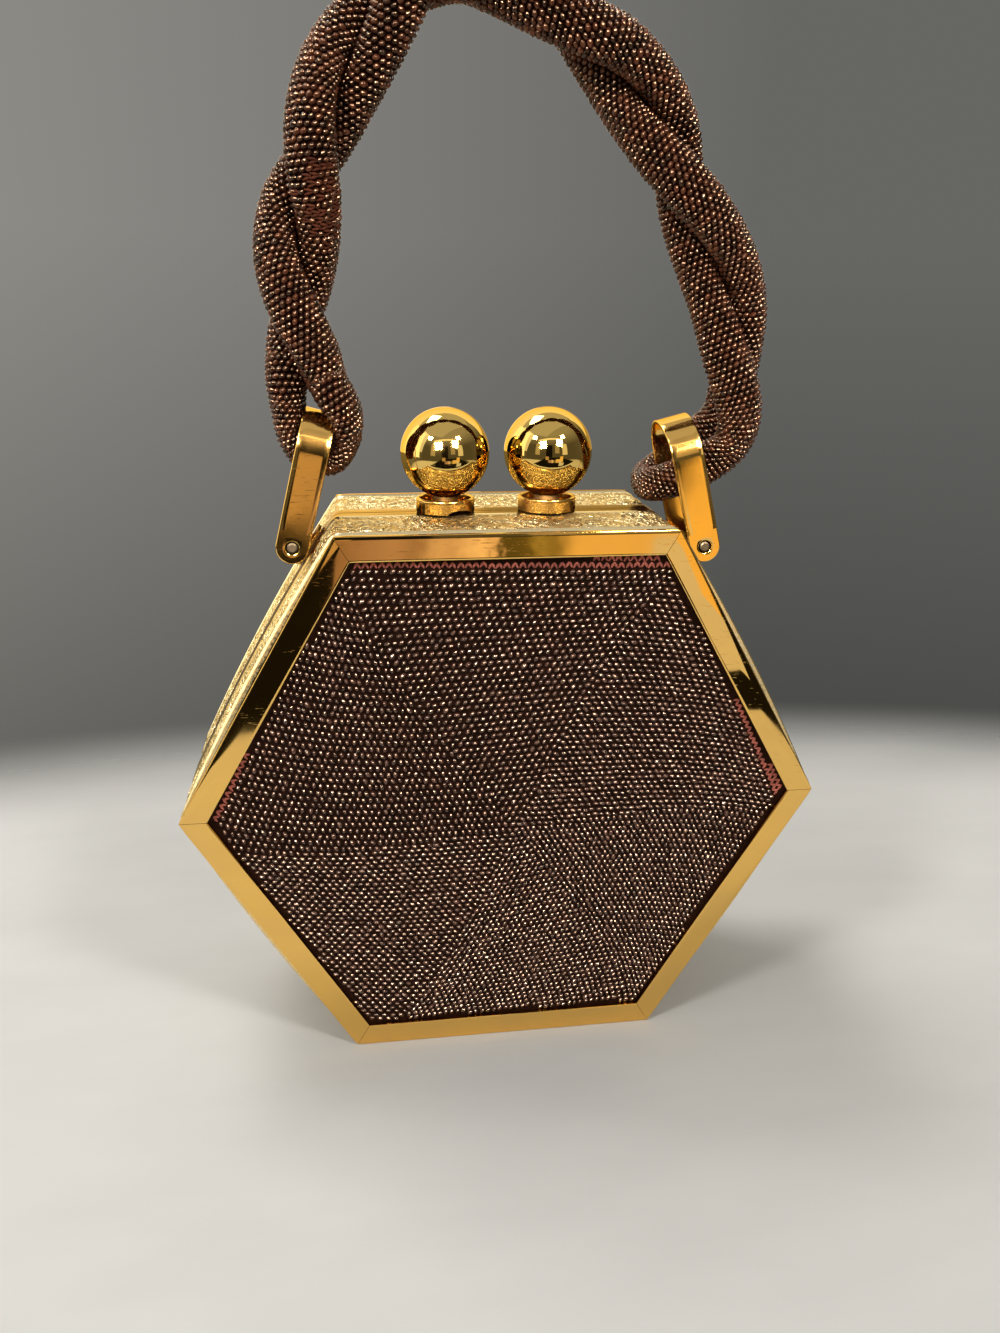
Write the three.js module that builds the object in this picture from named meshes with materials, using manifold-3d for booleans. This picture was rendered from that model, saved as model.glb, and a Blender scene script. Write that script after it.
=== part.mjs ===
// Six-sided box handbag: two hinged metal trays with bead-worked faces, a clasp of two
// ball knobs, and a twisted rope handle of stuffed bead tube on two riveted links.
// Millimetres. X runs to the right, Y away from the front, Z up. The origin is on the
// ground under the middle of the bag.

import * as THREE from 'three';
import { mergeVertices } from 'three/addons/utils/BufferGeometryUtils.js';
import Module from 'manifold-3d';

const wasm = await Module();
wasm.setup();

// Body: a regular hexagon standing on one side
const HEX_RADIUS = 90;
const HALF_DEPTH = 29.25;
const GAP = 0.3;
const CUT_PAST = 1;
const APOTHEM = HEX_RADIUS * Math.cos(Math.PI / 6);
const LID_Z = 2 * APOTHEM;

// Bezel: a flat frame on each face
const BEZEL_WIDTH = 6.7;
const BEZEL_THICK = 1.2;
const BEZEL_CORNER = 0.9;
const BEZEL_EDGE = 0.35;
const BEZEL_INNER_BEVEL = 0.45;

// Gusset: the side wall of each tray, whose four slanted sides swell a little
const WALL_THICK = 0.9;
const WALL_BOW = 1.6;
const WALL_CORNER = 2.2;
const WALL_SIDE_STEPS = 6;
const CORNER_STEPS = 3;
const SEAM_GAP = 0.4;
const RIB_PITCH = 1.5;
const RIB_COUNT = 2;
const RIB_DEPTH = 0.45;
const LEDGE_WIDTH = 8;

// Bead panel: a covered board tucked behind the bezel
const PANEL_THICK = 2;
const PANEL_TUCK = 2.3;

// Bottom hinge
const HINGE_Z = 1.8;
const HINGE_HALF_LENGTH = 40;
const KNUCKLE_RADIUS = 1.6;
const KNUCKLE_BORE = 1;
const HINGE_PIN_RADIUS = 0.7;
const MIDDLE_KNUCKLE_HALF = 14;
const LEAF_THICK = 0.7;
const LEAF_REACH = 14;
const SLOT_HALF_WIDTH = 2.3;
const SLOT_HALF_LENGTH = 50;
const SLOT_TOP = 2.6;

// Clasp: two balls side by side on the lid
const BALL_RADIUS = 12.2;
const BALL_X = 14.3;
const BALL_Z = 172.1;
const BALL_SIDES = 24;
const BALL_RINGS = 14;
const NECK_RADIUS = 3.5;
const COLLAR_RADIUS = 8.1;
const COLLAR_RIM = 1.1;
const COLLAR_FLOOR = 1.6;
const COLLAR_TOP = 160;
const COLLAR_SIDES = 28;
const NOTCH_RADIUS = 5.1;
const NOTCH_RISE = 1.2;
const NOTCH_X = 3.4;

// Handle links: flat strip bent to a U that hangs on a rivet and leans inward
const PIVOTS = {
  left: { x: 56.3, z: 148.8 },
  right: { x: 58.1, z: 146.5 },
};
const LINK_LEAN = THREE.MathUtils.degToRad(14.7);
const LINK_HALF_SPAN = 10.5;
const LINK_THICK = 1;
const LINK_WIDTH = 8.8;
const LINK_TOP = 36;
const LINK_ARC_STEPS = 12;
const RIVET_RADIUS = 1.4;
const RIVET_HOLE = 1.75;
const RIVET_PROUD = 0.1;

// Lugs: brackets on the back tray that hold the rivets
const LUG_BARREL_RADIUS = 3;
const LUG_WEB_THICK = 3.6;
const LUG_FOOT_LENGTH = 11;
const LUG_FOOT_THICK = 1;
const LUG_INNER_Y = 0.8;
const LUG_OUTER_Y = 9;

// Rope handle: two passes of one closed tube wound about a middle line
const STRAND_OFFSET = 5.6;
const STRAND_RADIAL = 5.3;
const STRAND_ACROSS = 6.6;
const TWIST_STATIONS = 30;
const ROPE_RINGS = 132;
const ROPE_SIDES = 12;

// Middle line of the handle, from the left link over the top to the right link, with the
// degrees that the pair of passes has turned about it
const ROPE_LINE = [
  { x: -50.6, z: 191.6, twist: 14 },
  { x: -52.0, z: 208, twist: 90 },
  { x: -51.0, z: 226, twist: 178 },
  { x: -46.4, z: 243.6, twist: 270 },
  { x: -35.0, z: 267, twist: 372 },
  { x: -9.6, z: 288.5, twist: 500 },
  { x: 21.5, z: 273, twist: 630 },
  { x: 37.6, z: 257.4, twist: 715 },
  { x: 49.0, z: 238, twist: 810 },
  { x: 62.2, z: 213, twist: 905 },
  { x: 66.3, z: 190, twist: 975 },
];

// Turn of the rope under the left arch, from its inner to its outer side. Columns: place of
// the tube's middle, direction away from the bend's middle, and the tube's half sizes.
const LEFT_TURN = [
  { x: -42.0, y: -1.2, z: 187.6, out: [1, -0.2, 0], radial: 4.3, across: 6.9 },
  { x: -39.1, y: -0.8, z: 182.8, out: [1, -0.1, 0], radial: 2.7, across: 7.2 },
  { x: -40.3, y: -0.3, z: 177, out: [1, 0, -0.3], radial: 3.3, across: 7.4 },
  { x: -44.4, y: 0, z: 170.6, out: [0.5, 0, -1], radial: 3.8, across: 7.4 },
  { x: -51.2, y: 0, z: 170.9, out: [-0.4, 0, -1], radial: 3.8, across: 7.4 },
  { x: -55.9, y: 0.4, z: 177, out: [-1, 0, -0.35], radial: 3.2, across: 7.4 },
  { x: -56.4, y: 1.2, z: 184.8, out: [-1, 0.2, 0], radial: 4.0, across: 7.2 },
];

// Turn of the rope round the back leg of the right link, from the front to the back.
const RIGHT_TURN = [
  { x: 67.0, y: -4.8, z: 181, out: [0.3, -1, 0], radial: 5.2, across: 6.6 },
  { x: 65.6, y: -3.4, z: 173.6, out: [0.7, -1, -0.4], radial: 5.0, across: 6.6 },
  { x: 58.8, y: -1.2, z: 168, out: [0.1, -1, -0.2], radial: 4.8, across: 6.4 },
  { x: 51.6, y: 0.8, z: 163.9, out: [-0.2, -1, 0], radial: 4.4, across: 5.6 },
  { x: 46.0, y: 6.0, z: 161.5, out: [-1, -0.5, -0.2], radial: 3.9, across: 5.1 },
  { x: 46.2, y: 14.2, z: 161.5, out: [-1, 0.5, -0.2], radial: 3.9, across: 5.1 },
  { x: 52.4, y: 16.6, z: 164.8, out: [0, 1, 0], radial: 4.6, across: 5.8 },
  { x: 61.0, y: 14.8, z: 172, out: [0.4, 1, -0.3], radial: 4.8, across: 6.6 },
  { x: 67.2, y: 8.4, z: 180.5, out: [0.4, 1, 0], radial: 5.2, across: 6.6 },
];

const finish = {
  polished: { color: 0xd9a441, roughness: 0.12, metalness: 1 },
  embossed: { color: 0xc9a863, roughness: 0.35, metalness: 1 },
  beadPanel: { color: 0x33241f, roughness: 0.45, metalness: 0.3 },
  beadRope: { color: 0x4a2f22, roughness: 0.45, metalness: 0.3 },
  steel: { color: 0x8f8a80, roughness: 0.4, metalness: 1 },
};

const bag = new THREE.Group();

function piece(name, geometry, surface) {
  geometry.computeVertexNormals();
  const mesh = new THREE.Mesh(geometry, new THREE.MeshStandardMaterial(surface));
  mesh.name = name;
  bag.add(mesh);
  return mesh;
}

// Solids: closed meshes to and from the boolean library

function closedMesh(positions, triangles) {
  const geometry = new THREE.BufferGeometry();
  geometry.setAttribute('position', new THREE.Float32BufferAttribute(positions, 3));
  geometry.setIndex(triangles);
  if (enclosedVolume(geometry) < 0) {
    for (let i = 0; i < triangles.length; i += 3) {
      [triangles[i + 1], triangles[i + 2]] = [triangles[i + 2], triangles[i + 1]];
    }
    geometry.setIndex(triangles);
  }
  return geometry;
}

function enclosedVolume(geometry) {
  const { position } = geometry.attributes;
  const corner = (k) => new THREE.Vector3().fromBufferAttribute(position, geometry.index.getX(k));
  let volume = 0;
  for (let i = 0; i < geometry.index.count; i += 3) {
    volume += corner(i).dot(corner(i + 1).cross(corner(i + 2))) / 6;
  }
  return volume;
}

function toSolid(geometry) {
  const bare = geometry.clone();
  bare.deleteAttribute('normal');
  bare.deleteAttribute('uv');
  const merged = mergeVertices(bare, 1e-4);
  return new wasm.Manifold(new wasm.Mesh({
    numProp: 3,
    vertProperties: new Float32Array(merged.attributes.position.array),
    triVerts: new Uint32Array(merged.index.array),
  }));
}

function fromSolid(solid) {
  const mesh = solid.getMesh();
  const positions = [];
  for (let i = 0; i < mesh.numVert; i++) {
    positions.push(...mesh.vertProperties.slice(i * mesh.numProp, i * mesh.numProp + 3));
  }
  const geometry = new THREE.BufferGeometry();
  geometry.setAttribute('position', new THREE.Float32BufferAttribute(positions, 3));
  geometry.setIndex([...mesh.triVerts]);
  return geometry;
}

function box(low, high) {
  const size = high.map((value, i) => value - low[i]);
  const middle = high.map((value, i) => (value + low[i]) / 2);
  return new THREE.BoxGeometry(...size).translate(...middle);
}

function rodAlongY(radius, fromY, toY, sides = 20) {
  const rod = new THREE.CylinderGeometry(radius, radius, toY - fromY, sides);
  return rod.translate(0, (fromY + toY) / 2, 0);
}

function rodAlongX(radius, fromX, toX, sides = 16) {
  const rod = new THREE.CylinderGeometry(radius, radius, toX - fromX, sides);
  return rod.rotateZ(Math.PI / 2).translate((fromX + toX) / 2, 0, 0);
}

function turned(profile, sides) {
  const points = profile.map(([radius, height]) => new THREE.Vector2(radius, height));
  return new THREE.LatheGeometry(points, sides).rotateX(Math.PI / 2);
}

// Hexagon outlines: corners rounded over a short cut, slanted sides bowed by a parabola

function hexCorner(index, inset) {
  const radius = HEX_RADIUS - inset / Math.cos(Math.PI / 6);
  const angle = (index * Math.PI) / 3;
  return new THREE.Vector2(radius * Math.cos(angle), APOTHEM + radius * Math.sin(angle));
}

function isLevelSide(index) {
  return index % 3 === 1;
}

function hexOutline(inset, bow, cut, sideSteps) {
  const sides = [0, 1, 2, 3, 4, 5].map((index) => {
    const from = hexCorner(index, inset);
    const along = hexCorner(index + 1, inset).sub(from);
    const length = along.length();
    const outward = new THREE.Vector2(along.y, -along.x).normalize();
    const rise = isLevelSide(index) ? 0 : bow;
    const at = (t) => from.clone()
      .addScaledVector(along, t)
      .addScaledVector(outward, 4 * rise * t * (1 - t));
    const first = cut / length;
    const steps = isLevelSide(index) ? 1 : sideSteps;
    const points = [];
    for (let i = 0; i <= steps; i++) {
      points.push(at(first + (1 - 2 * first) * (i / steps)));
    }
    return { from, points };
  });
  const outline = [];
  sides.forEach((side, index) => {
    const before = sides[(index + 5) % 6].points.at(-1);
    const round = new THREE.QuadraticBezierCurve(before, side.from, side.points[0]);
    outline.push(...round.getPoints(CORNER_STEPS).slice(1, CORNER_STEPS));
    outline.push(...side.points);
  });
  return outline;
}

// Ring of hexagon outlines joined row by row; the section closes on itself
function hexRing(section, cut, sideSteps) {
  const rings = section.map(({ inset, y, bow = 0 }) => hexOutline(inset, bow, cut, sideSteps)
    .map((point) => [point.x, y, point.y]));
  return joinRings(rings);
}

function joinRings(rings) {
  const count = rings[0].length;
  const positions = rings.flat(2);
  const triangles = [];
  for (let r = 0; r < rings.length; r++) {
    const here = r * count;
    const next = ((r + 1) % rings.length) * count;
    for (let i = 0; i < count; i++) {
      const j = (i + 1) % count;
      triangles.push(here + i, here + j, next + j, here + i, next + j, next + i);
    }
  }
  return closedMesh(positions, triangles);
}

// Trays: side is -1 for the front half and 1 for the back half

const BEZEL_BACK_Y = HALF_DEPTH - BEZEL_THICK;
const WALL_FACE_Y = BEZEL_BACK_Y - GAP;
const PANEL_BACK_Y = WALL_FACE_Y - PANEL_THICK;
const LEDGE_Y = PANEL_BACK_Y - GAP;

function bezelGeometry(side) {
  const section = [
    { inset: 0, y: BEZEL_BACK_Y },
    { inset: 0, y: HALF_DEPTH - BEZEL_EDGE },
    { inset: BEZEL_EDGE, y: HALF_DEPTH },
    { inset: BEZEL_WIDTH - BEZEL_INNER_BEVEL, y: HALF_DEPTH },
    { inset: BEZEL_WIDTH, y: HALF_DEPTH - BEZEL_INNER_BEVEL },
    { inset: BEZEL_WIDTH, y: BEZEL_BACK_Y },
  ];
  return hexRing(section.map(({ inset, y }) => ({ inset, y: side * y })), BEZEL_CORNER, 1);
}

function gussetSection() {
  const section = [];
  for (let rib = 0; rib < RIB_COUNT; rib++) {
    const start = WALL_FACE_Y - rib * RIB_PITCH;
    section.push({ inset: RIB_DEPTH, y: start, bow: WALL_BOW });
    section.push({ inset: 0, y: start - RIB_PITCH / 2, bow: WALL_BOW });
  }
  const ribsEnd = WALL_FACE_Y - RIB_COUNT * RIB_PITCH;
  section.push({ inset: RIB_DEPTH, y: ribsEnd, bow: WALL_BOW });
  section.push({ inset: 0, y: ribsEnd - RIB_DEPTH, bow: WALL_BOW });
  section.push({ inset: 0, y: SEAM_GAP / 2, bow: WALL_BOW });
  section.push({ inset: WALL_THICK, y: SEAM_GAP / 2, bow: WALL_BOW });
  section.push({ inset: WALL_THICK, y: LEDGE_Y - WALL_THICK, bow: WALL_BOW });
  section.push({ inset: WALL_THICK + LEDGE_WIDTH, y: LEDGE_Y - WALL_THICK });
  section.push({ inset: WALL_THICK + LEDGE_WIDTH, y: LEDGE_Y });
  section.push({ inset: WALL_THICK + RIB_DEPTH, y: LEDGE_Y, bow: WALL_BOW });
  section.push({ inset: WALL_THICK + RIB_DEPTH, y: WALL_FACE_Y, bow: WALL_BOW });
  return section;
}

function gussetGeometry(side) {
  const section = gussetSection().map(({ inset, y, bow }) => ({ inset, y: side * y, bow }));
  const wall = toSolid(hexRing(section, WALL_CORNER, WALL_SIDE_STEPS));
  const slot = box(
    [-SLOT_HALF_LENGTH, -SLOT_HALF_WIDTH, -CUT_PAST],
    [SLOT_HALF_LENGTH, SLOT_HALF_WIDTH, SLOT_TOP],
  );
  return fromSolid(wall.subtract(toSolid(slot)));
}

function panelGeometry(side) {
  const outline = new THREE.Shape(hexOutline(BEZEL_WIDTH - PANEL_TUCK, 0, BEZEL_CORNER, 1));
  const board = extruded(outline, PANEL_THICK);
  const farY = side < 0 ? -PANEL_BACK_Y : WALL_FACE_Y;
  return board.rotateX(Math.PI / 2).translate(0, farY, 0);
}

// Hinge: leaves lie on the floor of each tray, knuckles take turns along the pin

function hingeLeafGeometry(side, knuckleSpans) {
  const low = WALL_THICK + GAP;
  const plate = (fromX, toX, fromY, toY) => toSolid(box(
    [fromX, Math.min(side * fromY, side * toY), low],
    [toX, Math.max(side * fromY, side * toY), low + LEAF_THICK],
  ));
  const rootY = (KNUCKLE_BORE + KNUCKLE_RADIUS) / 2;
  let leaf = plate(-HINGE_HALF_LENGTH, HINGE_HALF_LENGTH, SLOT_HALF_WIDTH, LEAF_REACH);
  for (const [fromX, toX] of knuckleSpans) {
    const knuckle = toSolid(rodAlongX(KNUCKLE_RADIUS, fromX, toX).translate(0, 0, HINGE_Z));
    const bore = rodAlongX(KNUCKLE_BORE, fromX - CUT_PAST, toX + CUT_PAST).translate(0, 0, HINGE_Z);
    const tongue = plate(fromX, toX, rootY, SLOT_HALF_WIDTH + LEAF_THICK);
    leaf = leaf.add(tongue).add(knuckle).subtract(toSolid(bore));
  }
  return fromSolid(leaf);
}

function hingePinGeometry() {
  const reach = HINGE_HALF_LENGTH + GAP;
  return rodAlongX(HINGE_PIN_RADIUS, -reach, reach, 12).translate(0, 0, HINGE_Z);
}

// Clasp: each ball stands on a short neck in a shallow cup

function ballGeometry() {
  const neckMeets = Math.asin(NECK_RADIUS / BALL_RADIUS);
  const neckBottom = LID_Z + GAP + COLLAR_FLOOR + GAP;
  const profile = [[0, neckBottom], [NECK_RADIUS, neckBottom]];
  for (let i = 0; i < BALL_RINGS; i++) {
    const angle = neckMeets + ((Math.PI - neckMeets) * i) / BALL_RINGS;
    profile.push([BALL_RADIUS * Math.sin(angle), BALL_Z - BALL_RADIUS * Math.cos(angle)]);
  }
  profile.push([0, BALL_Z + BALL_RADIUS]);
  return turned(profile, BALL_SIDES);
}

function collarGeometry() {
  const bottom = LID_Z + GAP;
  const edge = COLLAR_RIM / 3;
  return turned([
    [0, bottom],
    [COLLAR_RADIUS, bottom],
    [COLLAR_RADIUS, COLLAR_TOP - edge],
    [COLLAR_RADIUS - edge, COLLAR_TOP],
    [COLLAR_RADIUS - COLLAR_RIM + edge, COLLAR_TOP],
    [COLLAR_RADIUS - COLLAR_RIM, COLLAR_TOP - edge],
    [COLLAR_RADIUS - COLLAR_RIM, bottom + COLLAR_FLOOR],
    [0, bottom + COLLAR_FLOOR],
  ], COLLAR_SIDES);
}

// The cup on the back half is relieved at the lower front, over the other half's lid
function notchedCollarGeometry() {
  const notchZ = LID_Z + GAP + NOTCH_RISE - NOTCH_RADIUS;
  const notch = rodAlongY(NOTCH_RADIUS, -COLLAR_RADIUS - CUT_PAST, -COLLAR_RADIUS / 2);
  notch.translate(NOTCH_X, 0, notchZ);
  return fromSolid(toSolid(collarGeometry()).subtract(toSolid(notch)));
}

// Handle links, in a frame with the rivet on Y and the U standing up

const DEPTHWISE = new THREE.Matrix4().makeBasis(
  new THREE.Vector3(0, 1, 0),
  new THREE.Vector3(0, 0, 1),
  new THREE.Vector3(1, 0, 0),
);

function extruded(shape, depth) {
  return new THREE.ExtrudeGeometry(shape, { depth, bevelEnabled: false, curveSegments: LINK_ARC_STEPS });
}

function linkGeometry() {
  const outer = LINK_HALF_SPAN;
  const inner = LINK_HALF_SPAN - LINK_THICK;
  const springing = LINK_TOP - outer;
  const foot = -LINK_WIDTH / 2;
  const strip = new THREE.Shape();
  strip.moveTo(outer, foot);
  strip.lineTo(outer, springing);
  strip.absarc(0, springing, outer, 0, Math.PI, false);
  strip.lineTo(-outer, foot);
  strip.lineTo(-inner, foot);
  strip.lineTo(-inner, springing);
  strip.absarc(0, springing, inner, Math.PI, 0, true);
  strip.lineTo(inner, foot);
  const half = LINK_WIDTH / 2;
  const bent = extruded(strip, LINK_WIDTH).translate(0, 0, -half).applyMatrix4(DEPTHWISE);
  const face = new THREE.Shape();
  face.moveTo(half, LINK_TOP + CUT_PAST);
  face.lineTo(-half, LINK_TOP + CUT_PAST);
  face.lineTo(-half, 0);
  face.absarc(0, 0, half, Math.PI, 2 * Math.PI, false);
  const reach = outer + CUT_PAST;
  const rounded = extruded(face, 2 * reach).rotateX(Math.PI / 2).translate(0, reach, 0);
  const hole = rodAlongY(RIVET_HOLE, -reach, reach);
  return fromSolid(toSolid(bent).intersect(toSolid(rounded)).subtract(toSolid(hole)));
}

function rivetGeometry() {
  return rodAlongY(RIVET_RADIUS, -LINK_HALF_SPAN - RIVET_PROUD, LINK_HALF_SPAN + RIVET_PROUD, 16);
}

// Lug on the right wall, in a frame with the rivet on Y and the wall's outward normal on X
function lugGeometry(reach) {
  const spanY = LINK_HALF_SPAN - LINK_THICK - GAP;
  const wallX = -reach + GAP;
  const barrel = toSolid(rodAlongY(LUG_BARREL_RADIUS, -spanY, spanY, 16));
  const web = toSolid(box(
    [wallX, LUG_INNER_Y, -LUG_WEB_THICK / 2],
    [0, LUG_OUTER_Y, LUG_WEB_THICK / 2],
  ));
  const foot = toSolid(box(
    [wallX, LUG_INNER_Y, -LUG_FOOT_LENGTH / 2],
    [wallX + LUG_FOOT_THICK, LUG_OUTER_Y, LUG_FOOT_LENGTH / 2],
  ));
  const bore = toSolid(rodAlongY(RIVET_HOLE, -spanY - CUT_PAST, spanY + CUT_PAST));
  return fromSolid(barrel.add(web).add(foot).subtract(bore));
}

// Where a rivet stands off the upper slanted wall: reach along the bowed wall's normal, and
// that normal's angle above X.
function wallUnderPivot({ x, z }) {
  const corner = hexCorner(1, 0);
  const along = hexCorner(0, 0).sub(corner);
  const outward = new THREE.Vector2(-along.y, along.x).normalize();
  const offset = new THREE.Vector2(x, z).sub(corner);
  const t = offset.dot(along) / along.lengthSq();
  const bow = 4 * WALL_BOW * t * (1 - t);
  const slope = (4 * WALL_BOW * (1 - 2 * t)) / along.length();
  return { reach: (offset.dot(outward) - bow) * Math.cos(slope), angle: outward.angle() + Math.atan(slope) };
}

// Rope: rows of stations, then rings of an oval section swept along them

function ropeStations() {
  const line = new THREE.CatmullRomCurve3(ROPE_LINE.map(({ x, z }) => new THREE.Vector3(x, 0, z)));
  const twist = new THREE.CatmullRomCurve3(ROPE_LINE.map((row) => new THREE.Vector3(row.twist, 0, 0)));
  const pass = (phase) => {
    const stations = [];
    for (let i = 0; i <= TWIST_STATIONS; i++) {
      const t = i / TWIST_STATIONS;
      const tangent = line.getTangent(t);
      const angle = THREE.MathUtils.degToRad(twist.getPoint(t).x + phase);
      const out = new THREE.Vector3(-tangent.z, 0, tangent.x).multiplyScalar(Math.cos(angle));
      out.y = Math.sin(angle);
      const centre = line.getPoint(t).addScaledVector(out, STRAND_OFFSET);
      stations.push({ centre, out, radial: STRAND_RADIAL, across: STRAND_ACROSS });
    }
    return stations;
  };
  const turn = (rows) => rows.map(({ x, y, z, out, radial, across }) => (
    { centre: new THREE.Vector3(x, y, z), out: new THREE.Vector3(...out).normalize(), radial, across }
  ));
  return [...pass(0), ...turn(RIGHT_TURN), ...pass(180).reverse(), ...turn(LEFT_TURN)];
}

function ropeGeometry() {
  const stations = ropeStations();
  const loop = (pick) => new THREE.CatmullRomCurve3(stations.map(pick), true);
  const centres = loop((station) => station.centre);
  const outs = loop((station) => station.out);
  const sizes = loop((station) => new THREE.Vector3(station.radial, station.across, 0));
  const rings = [];
  for (let r = 0; r < ROPE_RINGS; r++) {
    const t = centres.getUtoTmapping(r / ROPE_RINGS);
    const centre = centres.getPoint(t);
    const tangent = centres.getTangent(t);
    const out = outs.getPoint(t);
    out.addScaledVector(tangent, -out.dot(tangent)).normalize();
    const across = new THREE.Vector3().crossVectors(tangent, out);
    const size = sizes.getPoint(t);
    const ring = [];
    for (let i = 0; i < ROPE_SIDES; i++) {
      const angle = (2 * Math.PI * i) / ROPE_SIDES;
      const point = centre.clone()
        .addScaledVector(out, size.x * Math.cos(angle))
        .addScaledVector(across, size.y * Math.sin(angle));
      ring.push(point.toArray());
    }
    rings.push(ring);
  }
  return joinRings(rings);
}

// Assembly

for (const [half, side] of [['front', -1], ['back', 1]]) {
  piece(`${half}_bezel`, bezelGeometry(side), finish.polished);
  piece(`${half}_gusset`, gussetGeometry(side), finish.embossed);
  piece(`${half}_bead_panel`, panelGeometry(side), finish.beadPanel);
}

const middleKnuckle = [[-MIDDLE_KNUCKLE_HALF, MIDDLE_KNUCKLE_HALF]];
const endKnuckles = [
  [-HINGE_HALF_LENGTH, -MIDDLE_KNUCKLE_HALF - GAP],
  [MIDDLE_KNUCKLE_HALF + GAP, HINGE_HALF_LENGTH],
];
piece('hinge_leaf_front', hingeLeafGeometry(-1, middleKnuckle), finish.polished);
piece('hinge_leaf_back', hingeLeafGeometry(1, endKnuckles), finish.polished);
piece('hinge_pin', hingePinGeometry(), finish.steel);

piece('clasp_collar_left', notchedCollarGeometry(), finish.polished).position.x = -BALL_X;
piece('clasp_collar_right', collarGeometry(), finish.polished).position.x = BALL_X;
piece('clasp_ball_left', ballGeometry(), finish.polished).position.x = -BALL_X;
piece('clasp_ball_right', ballGeometry(), finish.polished).position.x = BALL_X;

for (const [hand, mirror] of [['left', -1], ['right', 1]]) {
  const pivot = PIVOTS[hand];
  const wall = wallUnderPivot(pivot);
  const lug = lugGeometry(wall.reach).rotateY(mirror > 0 ? -wall.angle : wall.angle + Math.PI);
  const link = linkGeometry().rotateY(-mirror * LINK_LEAN);
  for (const [name, geometry, surface] of [
    [`handle_lug_${hand}`, lug, finish.polished],
    [`handle_link_${hand}`, link, finish.polished],
    [`link_rivet_${hand}`, rivetGeometry(), finish.steel],
  ]) {
    piece(name, geometry, surface).position.set(mirror * pivot.x, 0, pivot.z);
  }
}

piece('handle_rope', ropeGeometry(), finish.beadRope);

export default bag;
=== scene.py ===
"""Looks of a six-sided beaded handbag, built around the fixed frame of its trays, clasp and handle."""

import math

import bpy
import numpy as np
from bpy.props import FloatProperty, FloatVectorProperty, PointerProperty
from mathutils import Matrix, Vector


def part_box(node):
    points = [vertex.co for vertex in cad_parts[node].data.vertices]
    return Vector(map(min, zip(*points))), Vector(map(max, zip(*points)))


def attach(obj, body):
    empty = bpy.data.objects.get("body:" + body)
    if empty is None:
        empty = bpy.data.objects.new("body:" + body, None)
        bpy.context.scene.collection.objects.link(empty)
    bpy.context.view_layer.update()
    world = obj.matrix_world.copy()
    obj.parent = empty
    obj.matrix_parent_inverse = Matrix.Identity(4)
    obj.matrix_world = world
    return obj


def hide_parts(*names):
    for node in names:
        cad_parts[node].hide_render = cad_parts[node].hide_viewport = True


bl_info = {
    "name": "Beaded hexagon handbag",
    "version": (1, 0, 0),
    "blender": (4, 5, 0),
    "location": "View3D > Sidebar > Handbag",
    "description": "Finishes a six-sided beaded handbag on its frame: beads, gilt metal and rope handle",
    "category": "Add Mesh",
}

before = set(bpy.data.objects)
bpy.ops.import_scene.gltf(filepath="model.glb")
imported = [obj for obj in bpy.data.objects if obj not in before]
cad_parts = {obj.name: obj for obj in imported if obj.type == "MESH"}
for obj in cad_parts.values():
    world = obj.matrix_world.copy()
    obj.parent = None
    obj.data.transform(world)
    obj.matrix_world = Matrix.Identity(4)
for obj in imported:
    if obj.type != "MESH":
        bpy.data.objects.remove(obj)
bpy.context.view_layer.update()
MM = 0.001
SEED = 1947


def frame_box(node):
    """Lowest and highest corner of a frame node, in millimetres."""
    low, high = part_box(node)
    return np.array(low) / MM, np.array(high) / MM


# Trays, read from the frame. Millimetres, as all sizes below.
BEZEL_LOW, BEZEL_HIGH = frame_box("front_bezel")
GUSSET_LOW, GUSSET_HIGH = frame_box("front_gusset")
PANEL_LOW, PANEL_HIGH = frame_box("front_bead_panel")
APOTHEM = BEZEL_HIGH[2] / 2
HEX_RADIUS = APOTHEM / math.cos(math.pi / 6)
HALF_DEPTH = -BEZEL_LOW[1]
BEZEL_BACK_Y = -BEZEL_HIGH[1]
WALL_FACE_Y = -GUSSET_LOW[1]
SEAM_Y = -GUSSET_HIGH[1]
PANEL_FACE_Y = -PANEL_LOW[1]
PANEL_BACK_Y = -PANEL_HIGH[1]
HALVES = (("front", -1), ("back", 1))

# Edges that bend by more than these degrees stay sharp, or are eased on the frame's own nodes
BEZEL_SHARP = 28
WALL_SHARP = 50
CLOTH_SHARP = 40
BEAD_SHARP = 80
STITCH_SHARP = 70
KNOB_SHARP = 40
CUP_SHARP = 35
LINK_SHARP = 32
RIVET_SHARP = 30
ROPE_SHARP = 60
EASED_FROM = 40

# Bezel strips
BEZEL_WIDTH = 6.7
BEZEL_EDGE = 0.28
BEZEL_BEVEL_WIDTH = 0.26
BEZEL_BEVEL_DROP = 0.12
BEZEL_ROLLS = (0.42, 0.06, 0.42, 0.2, 0.12, 0.2)
BEZEL_CORNER_RADIUS = HEX_RADIUS - 0.3
BEZEL_STEPS = 28
BEZEL_FACE_STEPS = 18
BEZEL_EDGE_STEPS = 5
BEZEL_WAVE_HEIGHT = 0.006
BEZEL_WAVES = 9.1
BEZEL_WAVES_ACROSS = 0.5
BEZEL_WAVE_SHIFT = 2.3

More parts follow.
